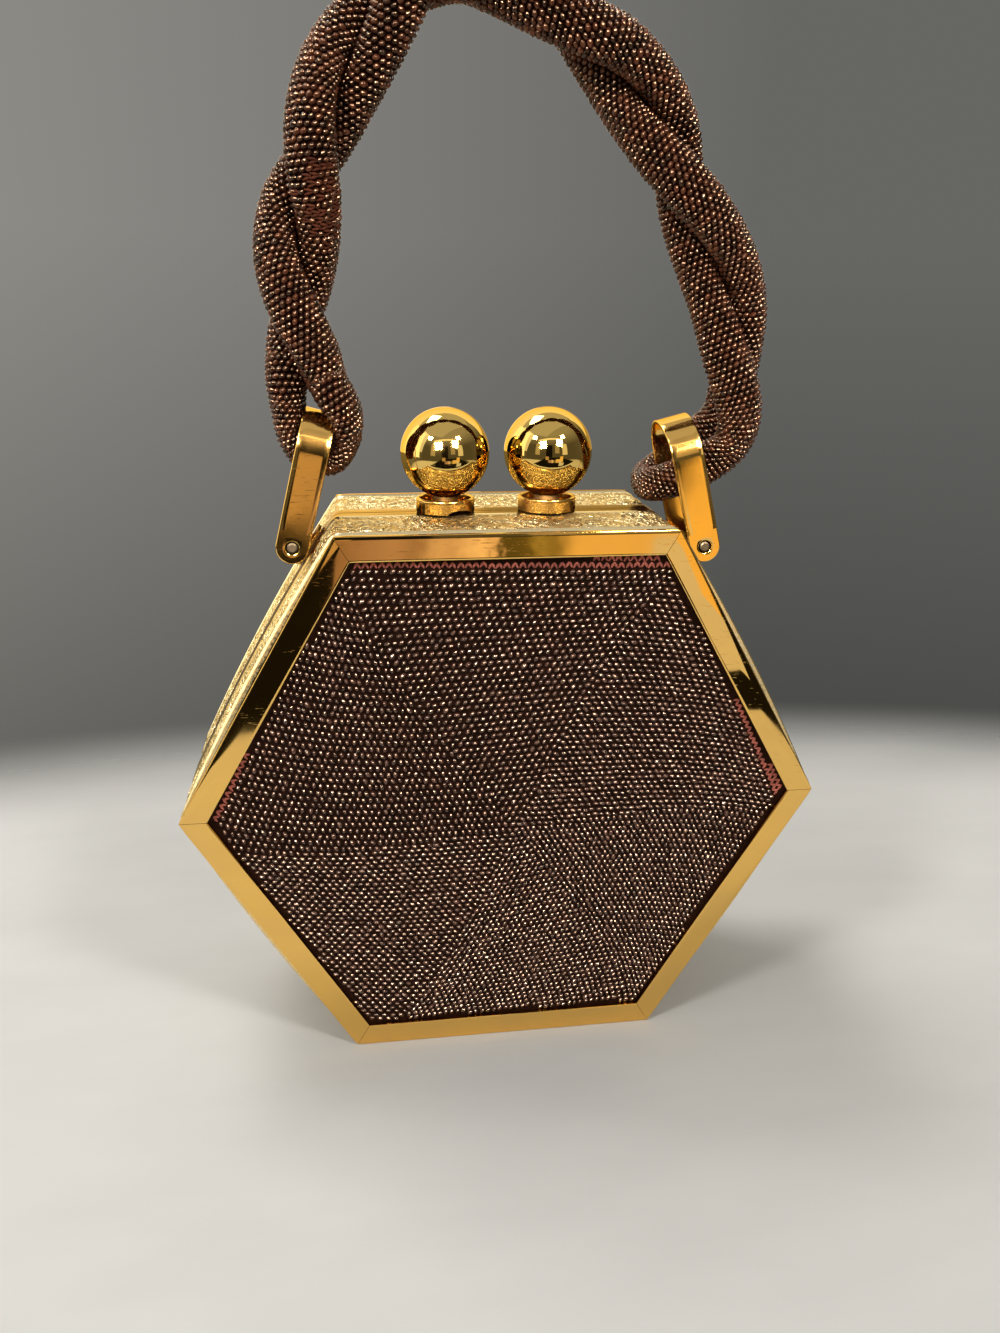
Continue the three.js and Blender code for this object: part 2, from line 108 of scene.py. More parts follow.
# Gusset walls
WALL_THICK = 0.9
WALL_BOW = 1.6
WALL_CORNER = 2.2
RIB_PITCH = 1.5
RIB_COUNT = 2
RIB_DEPTH = 0.45
RIB_ROWS = 8
RIB_ROUNDNESS = 5
LEDGE_WIDTH = 8
LEDGE_BACK_Y = PANEL_BACK_Y - 0.3
SLOT_HALF_WIDTH = 2.3
SLOT_TOP = 2.6
SMOOTH_BAND = 4.6
SMOOTH_BAND_ROWS = 3
REPEATS_AROUND = 18
SIDE_COLUMNS = (168, 168, 168, 168, 56, 168)
CORNER_COLUMNS = 4
RELIEF_ROWS = 40
RELIEF_MARGIN = 0.7
# How far the rib grooves and the inside of the walls are drawn towards the brown low colour: painted shade
RIB_SHADE = 0.8
INSIDE_SHADE = 0.75

# Running scroll of the walls, as shares of the strip's height: how far the stem swings, how far the spirals
# and the fans of leaves lie from the middle, and the spirals' first radius with the share that they lose
STEM_SWING = 0.25
SPIRAL_DROP = 0.13
FAN_DROP = 0.26
SPIRAL_RADIUS = 0.30
SPIRAL_TAPER = 0.66
SPIRAL_TURNS = 1.45
SPIRAL_START = math.radians(20)
STEM_HALF_WIDTH = 0.75
SPIRAL_HALF_WIDTH = 0.62
BERRY_RADIUS = 0.55
BERRY_HALF_WIDTH = 0.75

# Leaves of the scroll: gap at their foot, reach and half width. Those on the stem stand at shares of a bay
# and lean by degrees, those of a fan spread over degrees, and those on a spiral lean back, in radians, and
# lose some reach from point to point.
STEM_LEAVES = ((0.06, 60), (0.3, 105), (0.5, 80), (0.72, 70), (0.94, 120))
STEM_LEAF = (0.6, 4.0, 0.95)
FAN_LEAVES = (245, 270, 295)
FAN_LEAF = (0.4, 4.2, 0.9)
SPIRAL_LEAF = (0.5, 3.4, 0.85)
SPIRAL_LEAF_LEAN = 0.5
SPIRAL_LEAF_LOSS = 0.02

# Shape of a leaf, as shares of its half width and of the relief: how wide it is in its middle, what it gains
# and loses from there to foot and tip, the least that it may be, its groove and its height
LEAF_MIDDLE = 1.15
LEAF_TAPER = 0.5
LEAF_LEAST = 0.2
LEAF_GROOVE_DEPTH = 0.45
LEAF_GROOVE_WIDTH = 0.22
LEAF_HEIGHT = 0.9

# Bead panels: where the middle of the crochet lies from the middle of the tray, how far its first
# and last rounds are turned, in degrees, how much it is pulled one way, and its beaded rounds
PANEL_TUCK = 2.3
BEADWORK = {
    "front": {"shift": (2.6, -8.0), "turns": (5.6, 0.8), "pull": 0.09, "rounds": 43},
    "back": {"shift": (0.0, 0.0), "turns": (4.0, 0.0), "pull": 0.0, "rounds": 43},
}
PULL_ANGLE = math.radians(122)
SPARE_ROUNDS = 6
STITCH_SLIP = -0.1
STITCH_JITTER = 0.09
EDGE_ROOM = 0.8
CLOTH_RINGS = 18
CLOTH_SIDES = 72

# Beads of the panels: lean away from their round in radians, how far lean, tip and size vary, height as a
# share of the width, depth in the cloth, and the two values that shape the spread of their tones
BEAD_LEAN = math.radians(40)
BEAD_LEAN_SPREAD = 0.28
BEAD_TIP_SPREAD = 0.16
BEAD_SIZE_SPREAD = 0.07
BEAD_HEIGHT = 1.3
BEAD_SINK = 0.1
BEAD_TONES = (1.2, 1.9)

# Bare stitches of the panels: half the gap of a stitch's legs, their slant, half sizes and depth in the cloth
STITCH_SPREAD = 0.42
STITCH_SLANT = 28
STITCH_HALF_SIZES = (0.85, 0.4, 0.5)
STITCH_SINK = 0.05

# Clasp, read from the frame
BALL_LOW, BALL_HIGH = frame_box("clasp_ball_left")
COLLAR_LOW, COLLAR_HIGH = frame_box("clasp_collar_right")
BALL_RADIUS = (BALL_HIGH[0] - BALL_LOW[0]) / 2
BALL_X = -(BALL_HIGH[0] + BALL_LOW[0]) / 2
BALL_Z = BALL_HIGH[2] - BALL_RADIUS
COLLAR_RADIUS = (COLLAR_HIGH[0] - COLLAR_LOW[0]) / 2
NECK_RADIUS = 3.5
NECK_EDGE = 0.3
NECK_ROOM = 0.1
COLLAR_RIM = 1.1
COLLAR_FLOOR = 1.6
COLLAR_EDGE = 0.12
COLLAR_BAND = 1.4
COLLAR_FILLET = 0.2
LIP_HEIGHT = 0.35
GROOVE_DROP = 0.75
GROOVE_DEPTH = 0.1
NOTCH_RISE = 1.2
NOTCH_HALF_WIDTH = 3.3
NOTCH_X = 3.4
NOTCH_FRONT = 0.35
TURNED_SIDES = 96
BALL_RINGS = 56
LIP_RINGS = 9

# Handle links, whose rivets the frame places
PIVOTS = {}
for hand in ("left", "right"):
    low, high = frame_box(f"link_rivet_{hand}")
    PIVOTS[hand] = ((low[0] + high[0]) / 2, (low[2] + high[2]) / 2)
RIVET_HALF_LENGTH = frame_box("link_rivet_right")[1][1]
LINK_LEAN = math.radians(14.7)
LINK_HALF_SPAN = 10.5
LINK_THICK = 1
LINK_WIDTH = 8.8
LINK_TOP = 36
LINK_EDGE = 0.32
LINK_EDGE_STEPS = 4
LINK_SIDE_STEPS = 4
LINK_ROUND_STEPS = 24
LINK_COLUMNS = 7
LINK_RINGS = 4
LINK_LEG_ROWS = 10
LINK_ARCH_ROWS = 36
RIVET_HOLE = 1.75
RIVET_RADIUS = 1.4
LUG_EDGE = 0.18
HINGE_LEAF_EDGE = 0.08
HINGE_PIN_EDGE = 0.06
RIVET_FLAT = 0.7
RIVET_EDGE = 0.25
RIVET_SIDES = 32

# Rope handle: two passes of one closed tube wound about a middle line
STRAND_OFFSET = 5.3
STRAND_RADIAL = 5.6
STRAND_ACROSS = 6.6
TWIST_STATIONS = 30
ROPE_SAMPLES = 6001
RING_SAMPLES = 73
SMALL_STEP = 1e-4
SMALL_GAP = 1e-4
CORE_SIDES = 20

# Beads of the rope, as on the panels, with how far they sit inside the tube's skin, and how many
# millimetres their rows gain for each radian that the tube bends
BEADS_PER_TURN = 18.5
BEAD_SEAT = 1.0
BEND_SPREAD = 3.6
ROPE_BEAD_LEAN = math.radians(-36)
ROPE_LEAN_SPREAD = 0.2
ROPE_TIP_SPREAD = 0.12
ROPE_SIZE_SPREAD = 0.06
ROPE_BEAD_HEIGHT = 1.38
ROPE_TONES = (1.1, 1.8)

# Worn patch at the front of the rope: middle, half sizes, how many of these its wear reaches, share of the
# beads gone at most, and how far to the front the skin has to face
BARE_PATCH = (-44.6, -9.0, 233.5)
BARE_PATCH_HALF_LENGTH = 9.5
BARE_PATCH_HALF_WIDTH = 5.5
BARE_PATCH_HALF_DEPTH = 6
BARE_PATCH_FADE = 1.2
BARE_PATCH_SHARE = 0.5
BARE_PATCH_FACING = -0.3

# Bare stitches of the rope: half the gap of a stitch's legs, their slant, their half sizes
ROPE_STITCH_SPREAD = 0.38
ROPE_STITCH_SLANT = 0.22
ROPE_STITCH_HALF_SIZES = (1.1, 0.4, 0.85)

# Middle line of the handle: x, z, and the degrees that the two passes have turned about it
ROPE_LINE = np.array([
    (-50.6, 191.6, 14), (-52.0, 208, 90), (-51.0, 226, 178), (-46.4, 243.6, 270),
    (-35.0, 267, 372), (-9.6, 288.5, 500), (21.5, 273, 630), (37.6, 257.4, 715),
    (49.0, 238, 810), (62.2, 213, 905), (66.3, 190, 975),
])

# Turns in the links: middle of the tube, direction away from the bend, the tube's two half sizes
LEFT_TURN = np.array([
    (-43.6, -3.0, 188.4, 1, -0.4, 0.2, 5.2, 7.0),
    (-40.6, -3.0, 182.6, 1, -0.3, 0, 4.2, 7.3),
    (-40.6, -1.0, 176.4, 1, 0, -0.3, 3.8, 7.4),
    (-44.4, 0, 170.6, 0.5, 0, -1, 3.8, 7.4),
    (-51.2, 0, 170.9, -0.4, 0, -1, 3.8, 7.4),
    (-55.7, 0.4, 177, -1, 0, -0.35, 3.6, 7.4),
    (-55.8, 1.2, 184.8, -1, 0.2, 0, 4.7, 7.2),
])
RIGHT_TURN = np.array([
    (67.0, -4.8, 181, 0.3, -1, 0, 5.2, 6.6),
    (65.6, -3.4, 173.6, 0.7, -1, -0.4, 5.0, 6.6),
    (58.8, -1.2, 168, 0.1, -1, -0.2, 4.8, 6.4),
    (51.6, 0.8, 163.9, -0.2, -1, 0, 4.4, 5.6),
    (46.0, 6.0, 161.5, -1, -0.5, -0.2, 3.9, 5.1),
    (46.2, 14.2, 161.5, -1, 0.5, -0.2, 3.9, 5.1),
    (52.4, 16.6, 164.8, 0, 1, 0, 4.6, 5.8),
    (61.0, 14.8, 172, 0.4, 1, -0.3, 4.8, 6.6),
    (67.2, 8.4, 180.5, 0.4, 1, 0, 5.2, 6.6),
])

# Camera: place in millimetres, angles in degrees, focal length in pixels of the upright image, sensor in
# millimetres, and the nearest distance that it shows, in metres
CAMERA_PLACE = (-37.7, -281.9, 213.4)
CAMERA_YAW = 7.91
CAMERA_PITCH = 20.14
CAMERA_ROLL = -0.52
FOCAL_PIXELS = 1019.9
IMAGE_HEIGHT = 1333
SENSOR = 36
CLIP_START = 0.01


# Settings that a user would change


class BagSizes(bpy.types.PropertyGroup):
    bead_pitch: FloatProperty(
        name="Bead pitch", description="Distance between neighbouring seed beads",
        default=0.0019, unit="LENGTH", subtype="DISTANCE")
    bead_length: FloatProperty(
        name="Bead length", description="Length of a seed bead along its hole",
        default=0.00162, unit="LENGTH", subtype="DISTANCE")
    bead_width: FloatProperty(
        name="Bead width", description="Diameter of a seed bead",
        default=0.0013, unit="LENGTH", subtype="DISTANCE")
    rope_pitch: FloatProperty(
        name="Rope bead pitch", description="Distance between neighbouring beads of the rope",
        default=0.00184, unit="LENGTH", subtype="DISTANCE")
    rope_bead_length: FloatProperty(
        name="Rope bead length", description="Length of a bead of the rope along its hole",
        default=0.00168, unit="LENGTH", subtype="DISTANCE")
    rope_bead_width: FloatProperty(
        name="Rope bead width", description="Diameter of a bead of the rope",
        default=0.00146, unit="LENGTH", subtype="DISTANCE")
    cloth_crown: FloatProperty(
        name="Panel crown", description="How far the padded bead panel swells in its middle",
        default=0.0005, unit="LENGTH", subtype="DISTANCE")
    relief_depth: FloatProperty(
        name="Relief depth", description="Depth of the scrolls stamped into the side walls",
        default=0.0005, unit="LENGTH", subtype="DISTANCE")
    bezel_crown: FloatProperty(
        name="Bezel roll", description="How far the outer part of a bezel strip is rolled back",
        default=0.00012, unit="LENGTH", subtype="DISTANCE")
    mitre_gap: FloatProperty(
        name="Mitre gap", description="Open joint between two bezel strips",
        default=0.00012, unit="LENGTH", subtype="DISTANCE")


class BagColours(bpy.types.PropertyGroup):
    gold: FloatVectorProperty(
        name="Gold", description="Polished gold plate",
        default=(0.95, 0.58, 0.15), size=3, min=0, max=1, subtype="COLOR")
    gold_ball: FloatVectorProperty(
        name="Ball gold", description="Polished gold of the clasp balls",
        default=(0.86, 0.58, 0.16), size=3, min=0, max=1, subtype="COLOR")
    # Gold darkened as painted shade, for the neck under each ball inside its cup
    gold_dark: FloatVectorProperty(
        name="Dark gold", description="Tarnished metal in the cups of the clasp",
        default=(0.30, 0.17, 0.05), size=3, min=0, max=1, subtype="COLOR")
    # High parts of the stamped walls are drawn pale as a painted highlight, low parts brown as tarnish and
    # painted shade
    gold_pale: FloatVectorProperty(
        name="Pale gold", description="High parts of the stamped walls",
        default=(1.0, 0.85, 0.50), size=3, min=0, max=1, subtype="COLOR")
    gold_recess: FloatVectorProperty(
        name="Tarnish", description="Low parts of the stamped walls",
        default=(0.60, 0.43, 0.19), size=3, min=0, max=1, subtype="COLOR")
    # Darker brown colour of the smooth band along the seam, with streaks
    gold_band: FloatVectorProperty(
        name="Seam", description="Browned metal along the seam of the two trays",
        default=(0.26, 0.155, 0.07), size=3, min=0, max=1, subtype="COLOR")
    bead_dark: FloatVectorProperty(
        name="Panel bead, dark", description="Darkest bead of the panels",
        default=(0.030, 0.012, 0.008), size=3, min=0, max=1, subtype="COLOR")
    bead_light: FloatVectorProperty(
        name="Panel bead, light", description="Lightest bead of the panels",
        default=(0.135, 0.056, 0.036), size=3, min=0, max=1, subtype="COLOR")
    rope_dark: FloatVectorProperty(
        name="Rope bead, dark", description="Darkest bead of the rope",
        default=(0.022, 0.007, 0.0035), size=3, min=0, max=1, subtype="COLOR")
    rope_light: FloatVectorProperty(
        name="Rope bead, light", description="Lightest bead of the rope",
        default=(0.19, 0.055, 0.024), size=3, min=0, max=1, subtype="COLOR")
    thread: FloatVectorProperty(
        name="Panel thread", description="Crochet thread of the panels",
        default=(0.33, 0.105, 0.076), size=3, min=0, max=1, subtype="COLOR")
    # Panel thread darkened to near black where it shows between the beads: painted shade
    ground: FloatVectorProperty(
        name="Panel ground", description="Cloth that shows between the beads of the panels",
        default=(0.018, 0.008, 0.005), size=3, min=0, max=1, subtype="COLOR")
    # Rope thread darkened to near black where it shows between the beads: painted shade
    rope_ground: FloatVectorProperty(
        name="Rope ground", description="Cloth that shows between the beads of the rope",
        default=(0.012, 0.004, 0.003), size=3, min=0, max=1, subtype="COLOR")
    rope_thread: FloatVectorProperty(
        name="Rope thread", description="Bare crochet thread of the rope",
        default=(0.12, 0.040, 0.022), size=3, min=0, max=1, subtype="COLOR")
    lining: FloatVectorProperty(
        name="Lining", description="Board behind the bead cloth, seen inside the open bag",
        default=(0.055, 0.022, 0.013), size=3, min=0, max=1, subtype="COLOR")
    steel: FloatVectorProperty(
        name="Rivet", description="Dull metal of the rivets and the hinge pin",
        default=(0.11, 0.09, 0.062), size=3, min=0, max=1, subtype="COLOR")
    floor: FloatVectorProperty(
        name="Floor", description="Pale floor around the bag",
        default=(0.62, 0.605, 0.57), size=3, min=0, max=1, subtype="COLOR")


class BagLights(bpy.types.PropertyGroup):
    ceiling: FloatProperty(
        name="Ceiling", description="Power of the large soft light overhead",
        default=3.7, unit="POWER")
    back: FloatProperty(
        name="Back", description="Power of the light behind the bag that throws its shadow forward",
        default=13.0, unit="POWER")
    side: FloatProperty(
        name="Side", description="Power of the soft light from the left",
        default=4.0, unit="POWER")
    lamps: FloatProperty(
        name="Lamps", description="Power of each small lamp in front of the bag",
        default=8.0, unit="POWER")
    room: FloatProperty(
        name="Room", description="Strength of the light from the room around",
        default=1.0, min=0, subtype="FACTOR")


# Meshes from arrays


def build_mesh(name, points, *face_arrays):
    """Mesh from points in millimetres and arrays of faces with the same number of corners each."""
    corners = np.concatenate([np.ravel(faces) for faces in face_arrays])
    sizes = np.concatenate([np.full(len(faces), faces.shape[1]) for faces in face_arrays])
    mesh = bpy.data.meshes.new(name)
    mesh.vertices.add(len(points))
    mesh.vertices.foreach_set("co", np.ravel(points).astype(np.float32) * np.float32(MM))
    mesh.loops.add(len(corners))
    mesh.loops.foreach_set("vertex_index", corners.astype(np.int32))
    mesh.polygons.add(len(sizes))
    starts = np.concatenate([[0], np.cumsum(sizes)[:-1]])
    mesh.polygons.foreach_set("loop_start", starts.astype(np.int32))
    mesh.update(calc_edges=True)
    mesh.validate()
    return mesh


def enclosed_volume(points, faces):
    """Signed volume inside a closed mesh of quads or triangles, as a fan from each first corner."""
    volume = 0.0
    for k in range(1, faces.shape[1] - 1):
        a, b, c = points[faces[:, 0]], points[faces[:, k]], points[faces[:, k + 1]]
        volume += float((a * np.cross(b, c)).sum()) / 6
    return volume


def facing_out(points, *face_arrays):
    """The same faces, turned over where the closed mesh is inside out."""
    if sum(enclosed_volume(points, faces) for faces in face_arrays) < 0:
        return [faces[:, ::-1] for faces in face_arrays]
    return list(face_arrays)


def paint(mesh, attribute, values):
    """Stores a number for each point, for the material to read."""
    layer = mesh.attributes.new(attribute, "FLOAT", "POINT")
    layer.data.foreach_set("value", np.asarray(values, np.float32))


def smooth(mesh, degrees):
    """Smooth shading, with edges sharper than the angle kept sharp."""
    mesh.polygons.foreach_set("use_smooth", np.ones(len(mesh.polygons), bool))
    mesh.set_sharp_from_angle(angle=math.radians(degrees))


def add_object(name, data):
    """Object in the scene that shows a mesh, a light or a camera."""
    shown = bpy.data.objects.new(name, data)
    bpy.context.scene.collection.objects.link(shown)
    return shown


def add_piece(name, points, faces, degrees, body, slot, finishes, replaces=()):
    """Mesh, smoothed up to an angle, as a piece that moves with a body of the frame."""
    mesh = build_mesh(name, points, *faces)
    smooth(mesh, degrees)
    piece = add_object(name, mesh)
    for finish in finishes:
        mesh.materials.append(finish_of(finish))
    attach(piece, body)
    if replaces:
        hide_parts(*replaces)
    return piece


def unit(vectors):
    """Rows of vectors, made one long."""
    return vectors / np.linalg.norm(vectors, axis=1, keepdims=True)


def grid_quads(rows, columns, close_rows, close_columns):
    """Quads of a grid of points numbered row by row."""
    r = np.arange(rows if close_rows else rows - 1)
    c = np.arange(columns if close_columns else columns - 1)
    r, c = (axis.ravel() for axis in np.meshgrid(r, c, indexing="ij"))
    below, beside = (r + 1) % rows, (c + 1) % columns
    return np.stack([r * columns + c, r * columns + beside, below * columns + beside, below * columns + c], 1)


def capped_faces(rows, sides):
    """Quads between rings of points, and fans that close both ends on the two points after them."""
    around = np.arange(sides)
    beside = (around + 1) % sides
    end, hub = (rows - 1) * sides, rows * sides
    low_cap = np.stack([np.full(sides, hub), beside, around], 1)
    high_cap = np.stack([np.full(sides, hub + 1), end + around, end + beside], 1)
    return grid_quads(rows, sides, False, True), np.vstack([low_cap, high_cap])


def turned_mesh(profile, sides, shape=None):
    """Closed lathe mesh from a profile of (radius, height) rows that starts and ends on the axis."""
    profile = np.asarray(profile, float)
    angles = 2 * np.pi * np.arange(sides) / sides
    ring = np.stack([np.cos(angles), np.sin(angles)], 1)
    inner = profile[1:-1]
    points = np.empty((len(inner), sides, 3))
    points[:, :, :2] = inner[:, None, :1] * ring[None]
    points[:, :, 2] = inner[:, 1:]
    if shape:
        points = shape(points)
    points = np.vstack([points.reshape(-1, 3), [(0, 0, profile[0, 1]), (0, 0, profile[-1, 1])]])
    return points, facing_out(points, *capped_faces(len(inner), sides))


def half_barrel(sides, rings):
    """Bead lying on its flat underside: hole along X, up along Z, rings of (place, radius) in half sizes."""
    count = sides + 1
    angles = np.pi * np.arange(count) / sides
    points = np.array([(x, r * math.cos(a), r * math.sin(a)) for x, r in rings for a in angles])
    quads = [
        (k * count + m, k * count + m + 1, (k + 1) * count + m + 1, (k + 1) * count + m)
        for k in range(len(rings) - 1) for m in range(sides)
    ]
    quads += [
        (k * count + sides, k * count, (k + 1) * count, (k + 1) * count + sides)
        for k in range(len(rings) - 1)
    ]
    last = (len(rings) - 1) * count
    ends = [(0, m + 1, m) for m in range(1, sides)]
    ends += [(last, last + m, last + m + 1) for m in range(1, sides)]
    quads, ends = facing_out(points, np.array(quads), np.array(ends))
    return points, quads, ends


PANEL_BEAD = half_barrel(5, ((-1, 0.7), (0, 1), (1, 0.7)))
ROPE_BEAD = half_barrel(5, ((-1, 0.66), (0, 1), (1, 0.66)))
STITCH_LEG = half_barrel(4, ((-1, 0.45), (0, 1), (1, 0.45)))


def scatter(model, places, along, up, half_sizes):
    """Copies of a model: middle, direction of its length, direction away from the cloth, half sizes."""
    model_points, *model_faces = model
    along = unit(along - up * (along * up).sum(1, keepdims=True))
    side = np.cross(up, along)
    frames = np.stack([along, side, up], 2) * half_sizes[:, None, :]
    points = places[:, None, :] + np.einsum("bij,pj->bpi", frames, model_points)
    first = np.arange(len(places)) * len(model_points)
    faces = [(f[None] + first[:, None, None]).reshape(-1, f.shape[1]) for f in model_faces]
    return points.reshape(-1, 3), faces


def joined(parts):
    """Points and face arrays of several meshes with the same kinds of faces, as one."""
    first = np.cumsum([0] + [len(points) for points, _ in parts[:-1]])
    points = np.vstack([points for points, _ in parts])
    kinds = range(len(parts[0][1]))
    return points, [np.vstack([faces[k] + n for (_, faces), n in zip(parts, first)]) for k in kinds]


def add_beads(name, bead, places, along, up, half_sizes, tone, body, slot, finish):
    """Beads of one piece, each with its own tone from dark to light."""
    points, faces = scatter(bead, places, along, up, half_sizes)
    piece = add_piece(name, points, faces, BEAD_SHARP, body, slot, [finish])
    paint(piece.data, "bead_tone", np.repeat(tone, len(bead[0])))


def bead_half_sizes(length, width, height, spread, count, chance):
    """Half sizes of uneven beads, with their height as a share of their width."""
    half_sizes = np.array([length, width, width]) / MM / 2
    half_sizes = half_sizes * chance.normal(1, spread, (count, 1))
    half_sizes[:, 2] *= height
    return half_sizes


def add_stitches(name, legs, half_sizes, body, slot, finish):
    """Bare stitches of two legs each: places, directions and normals of the one leg, then of the other."""
    shapes = [scatter(STITCH_LEG, *leg, np.tile(half_sizes, (len(leg[0]), 1))) for leg in legs]
    add_piece(name, *joined(shapes), STITCH_SHARP, body, slot, [finish])


# Shader nodes


def new_group(name, colours_in, colours_out, values_out):
    """Empty shader node group with named sockets."""
    group = bpy.data.node_groups.new(name, "ShaderNodeTree")
    for labels, way, kind in (
            (colours_in, "INPUT", "NodeSocketColor"),
            (colours_out, "OUTPUT", "NodeSocketColor"),
            (values_out, "OUTPUT", "NodeSocketFloat")):
        for label in labels:
            group.interface.new_socket(name=label, in_out=way, socket_type=kind)
    return group, group.nodes.new("NodeGroupInput"), group.nodes.new("NodeGroupOutput")


def add_node(tree, kind, settings=(), **values):
    """A node with its settings and the values of its named inputs."""
    node = tree.nodes.new(kind)
    for label, value in dict(settings).items():
        setattr(node, label, value)
    for label, value in values.items():
        node.inputs[label.replace("_", " ")].default_value = value
    return node


def feed(tree, value, socket):
    """Links an input to a socket, or sets it to a plain value or colour."""
    if isinstance(value, bpy.types.NodeSocket):
        tree.links.new(value, socket)
    else:
        socket.default_value = value if isinstance(value, (int, float)) else (*value, 1)


def mix_colour(tree, share, low, high, blend="MIX"):
    """Colour between two, where each argument is a socket or a plain value."""
    node = add_node(tree, "ShaderNodeMix", {"data_type": "RGBA", "blend_type": blend})
    for index, value in ((0, share), (6, low), (7, high)):
        feed(tree, value, node.inputs[index])
    return node.outputs[2]


def rescale(tree, value, from_low, from_high, to_low, to_high):
    """Value moved from one range to another, held at its ends."""
    node = add_node(tree, "ShaderNodeMapRange", From_Min=from_low, From_Max=from_high,
                    To_Min=to_low, To_Max=to_high)
    tree.links.new(value, node.inputs["Value"])
    return node.outputs["Result"]


def combine(tree, operation, first, second):
    """Two values put together by a sum, product or the like."""
    node = add_node(tree, "ShaderNodeMath", {"operation": operation})
    for socket, value in zip(node.inputs, (first, second)):
        feed(tree, value, socket)
    return node.outputs[0]


def noise(tree, scale, detail, stretch=(1, 1, 1), turn=(0, 0, 0)):
    """Noise in the piece's own space, stretched and turned."""
    place = add_node(tree, "ShaderNodeTexCoord")
    mapping = add_node(tree, "ShaderNodeMapping", Scale=stretch, Rotation=turn)
    texture = add_node(tree, "ShaderNodeTexNoise", Scale=scale, Detail=detail)
    tree.links.new(place.outputs["Object"], mapping.inputs["Vector"])
    tree.links.new(mapping.outputs["Vector"], texture.inputs["Vector"])
    return texture.outputs["Fac"]


def handling_marks_group():
    """Hairline scratches in two directions, and soft smudges from fingers."""
    group, _, end = new_group("handling_marks", (), (), ("Scratches", "Smudges"))
    hairs = []
    for turn in ((0.3, 0.5, 0.2), (-0.6, 0.2, 1.1)):
        lines = noise(group, 240, 2, stretch=(1, 1, 18), turn=turn)
        patches = noise(group, 45, 1, turn=turn)
        thin = rescale(group, lines, 0.66, 0.72, 0, 1)
        hairs.append(combine(group, "MULTIPLY", thin, rescale(group, patches, 0.52, 0.62, 0, 1)))
    group.links.new(combine(group, "MAXIMUM", *hairs), end.inputs["Scratches"])
    group.links.new(rescale(group, noise(group, 55, 4), 0.38, 0.68, 0, 1), end.inputs["Smudges"])
    return group


def stamped_shade_and_tarnish_group():
    """Pale high parts as a painted highlight and brown low parts as tarnish and painted shade on stamped
    metal, fine filigree, and darker brown streaks along the seam.
    """
    group, entry, end = new_group(
        "stamped_tarnish", ("High", "Low", "Band"), ("Colour",), ("Roughness", "Height"))
    relief, stamped, band = (
        add_node(group, "ShaderNodeAttribute", {"attribute_name": label}).outputs["Fac"]
        for label in ("relief", "stamped", "seam_band"))
    filigree = rescale(group, noise(group, 900, 2.5), 0.36, 0.64, 0, 1)
    fine = combine(group, "MULTIPLY", filigree, stamped)
    height = combine(group, "ADD", relief, rescale(group, filigree, 0, 1, -0.3, 0.3))
    # Colour from the brown low parts, tarnish and painted shade, to the pale high parts, a painted highlight
    share = rescale(group, height, 0.0, 0.9, 0, 1)
    metal = mix_colour(group, share, entry.outputs["Low"], entry.outputs["High"])
    streaks = rescale(group, noise(group, 1600, 2, stretch=(0.03, 1, 0.03)), 0.4, 0.62, 0, 1)
    brown = mix_colour(group, streaks, entry.outputs["Band"], entry.outputs["Low"])
    group.links.new(mix_colour(group, band, metal, brown), end.inputs["Colour"])
    group.links.new(rescale(group, height, 0.0, 1.0, 0.38, 0.16), end.inputs["Roughness"])
    group.links.new(fine, end.inputs["Height"])
    return group


def bead_lustre_group():
    """Colour and gloss that change from bead to bead, and the uneven skin that breaks up their glints."""
    group, entry, end = new_group("bead_lustre", ("Dark", "Light"), ("Colour",), ("Roughness", "Facets"))
    tone = add_node(group, "ShaderNodeAttribute", {"attribute_name": "bead_tone"}).outputs["Fac"]
    cloud = rescale(group, noise(group, 40, 3), 0.35, 0.65, -0.07, 0.07)
    share = rescale(group, combine(group, "ADD", tone, cloud), 0, 1, 0, 1)
    colour = mix_colour(group, share, entry.outputs["Dark"], entry.outputs["Light"])
    group.links.new(colour, end.inputs["Colour"])
    group.links.new(rescale(group, tone, 0, 1, 0.15, 0.10), end.inputs["Roughness"])
    group.links.new(noise(group, 1500, 1), end.inputs["Facets"])
    return group


def thread_lay_group():
    """Fine twist and fuzz of crochet thread."""
    group, entry, end = new_group("thread_lay", ("Thread",), ("Colour",), ("Twist",))
    twist = noise(group, 900, 2, stretch=(1, 1, 3), turn=(0, 0.7, 0))
    fuzz = noise(group, 260, 4)
    pale = mix_colour(group, 1.0, entry.outputs["Thread"], (2.2, 2.0, 1.9), "MULTIPLY")
    share = rescale(group, combine(group, "MULTIPLY", twist, fuzz), 0.15, 0.40, 0, 1)
    group.links.new(mix_colour(group, share, entry.outputs["Thread"], pale), end.inputs["Colour"])
    group.links.new(twist, end.inputs["Twist"])
    return group


SHARED_GROUPS = {
    "handling_marks": handling_marks_group,
    "stamped_tarnish": stamped_shade_and_tarnish_group,
    "bead_lustre": bead_lustre_group,
    "thread_lay": thread_lay_group,
}


def place_group(tree, name, **colours):
    """A shared node group in a material, built the first time it is asked for."""
    node = tree.nodes.new("ShaderNodeGroup")
    node.node_tree = bpy.data.node_groups.get(name) or SHARED_GROUPS[name]()
    for label, colour in colours.items():
        node.inputs[label].default_value = (*colour, 1)
    return node


def empty_tree(owner, output_kind):
    """Node tree of a material or a world with nothing in it but its output."""
    owner.use_nodes = True
    tree = owner.node_tree
    tree.nodes.clear()
    return tree, tree.nodes.new(output_kind)


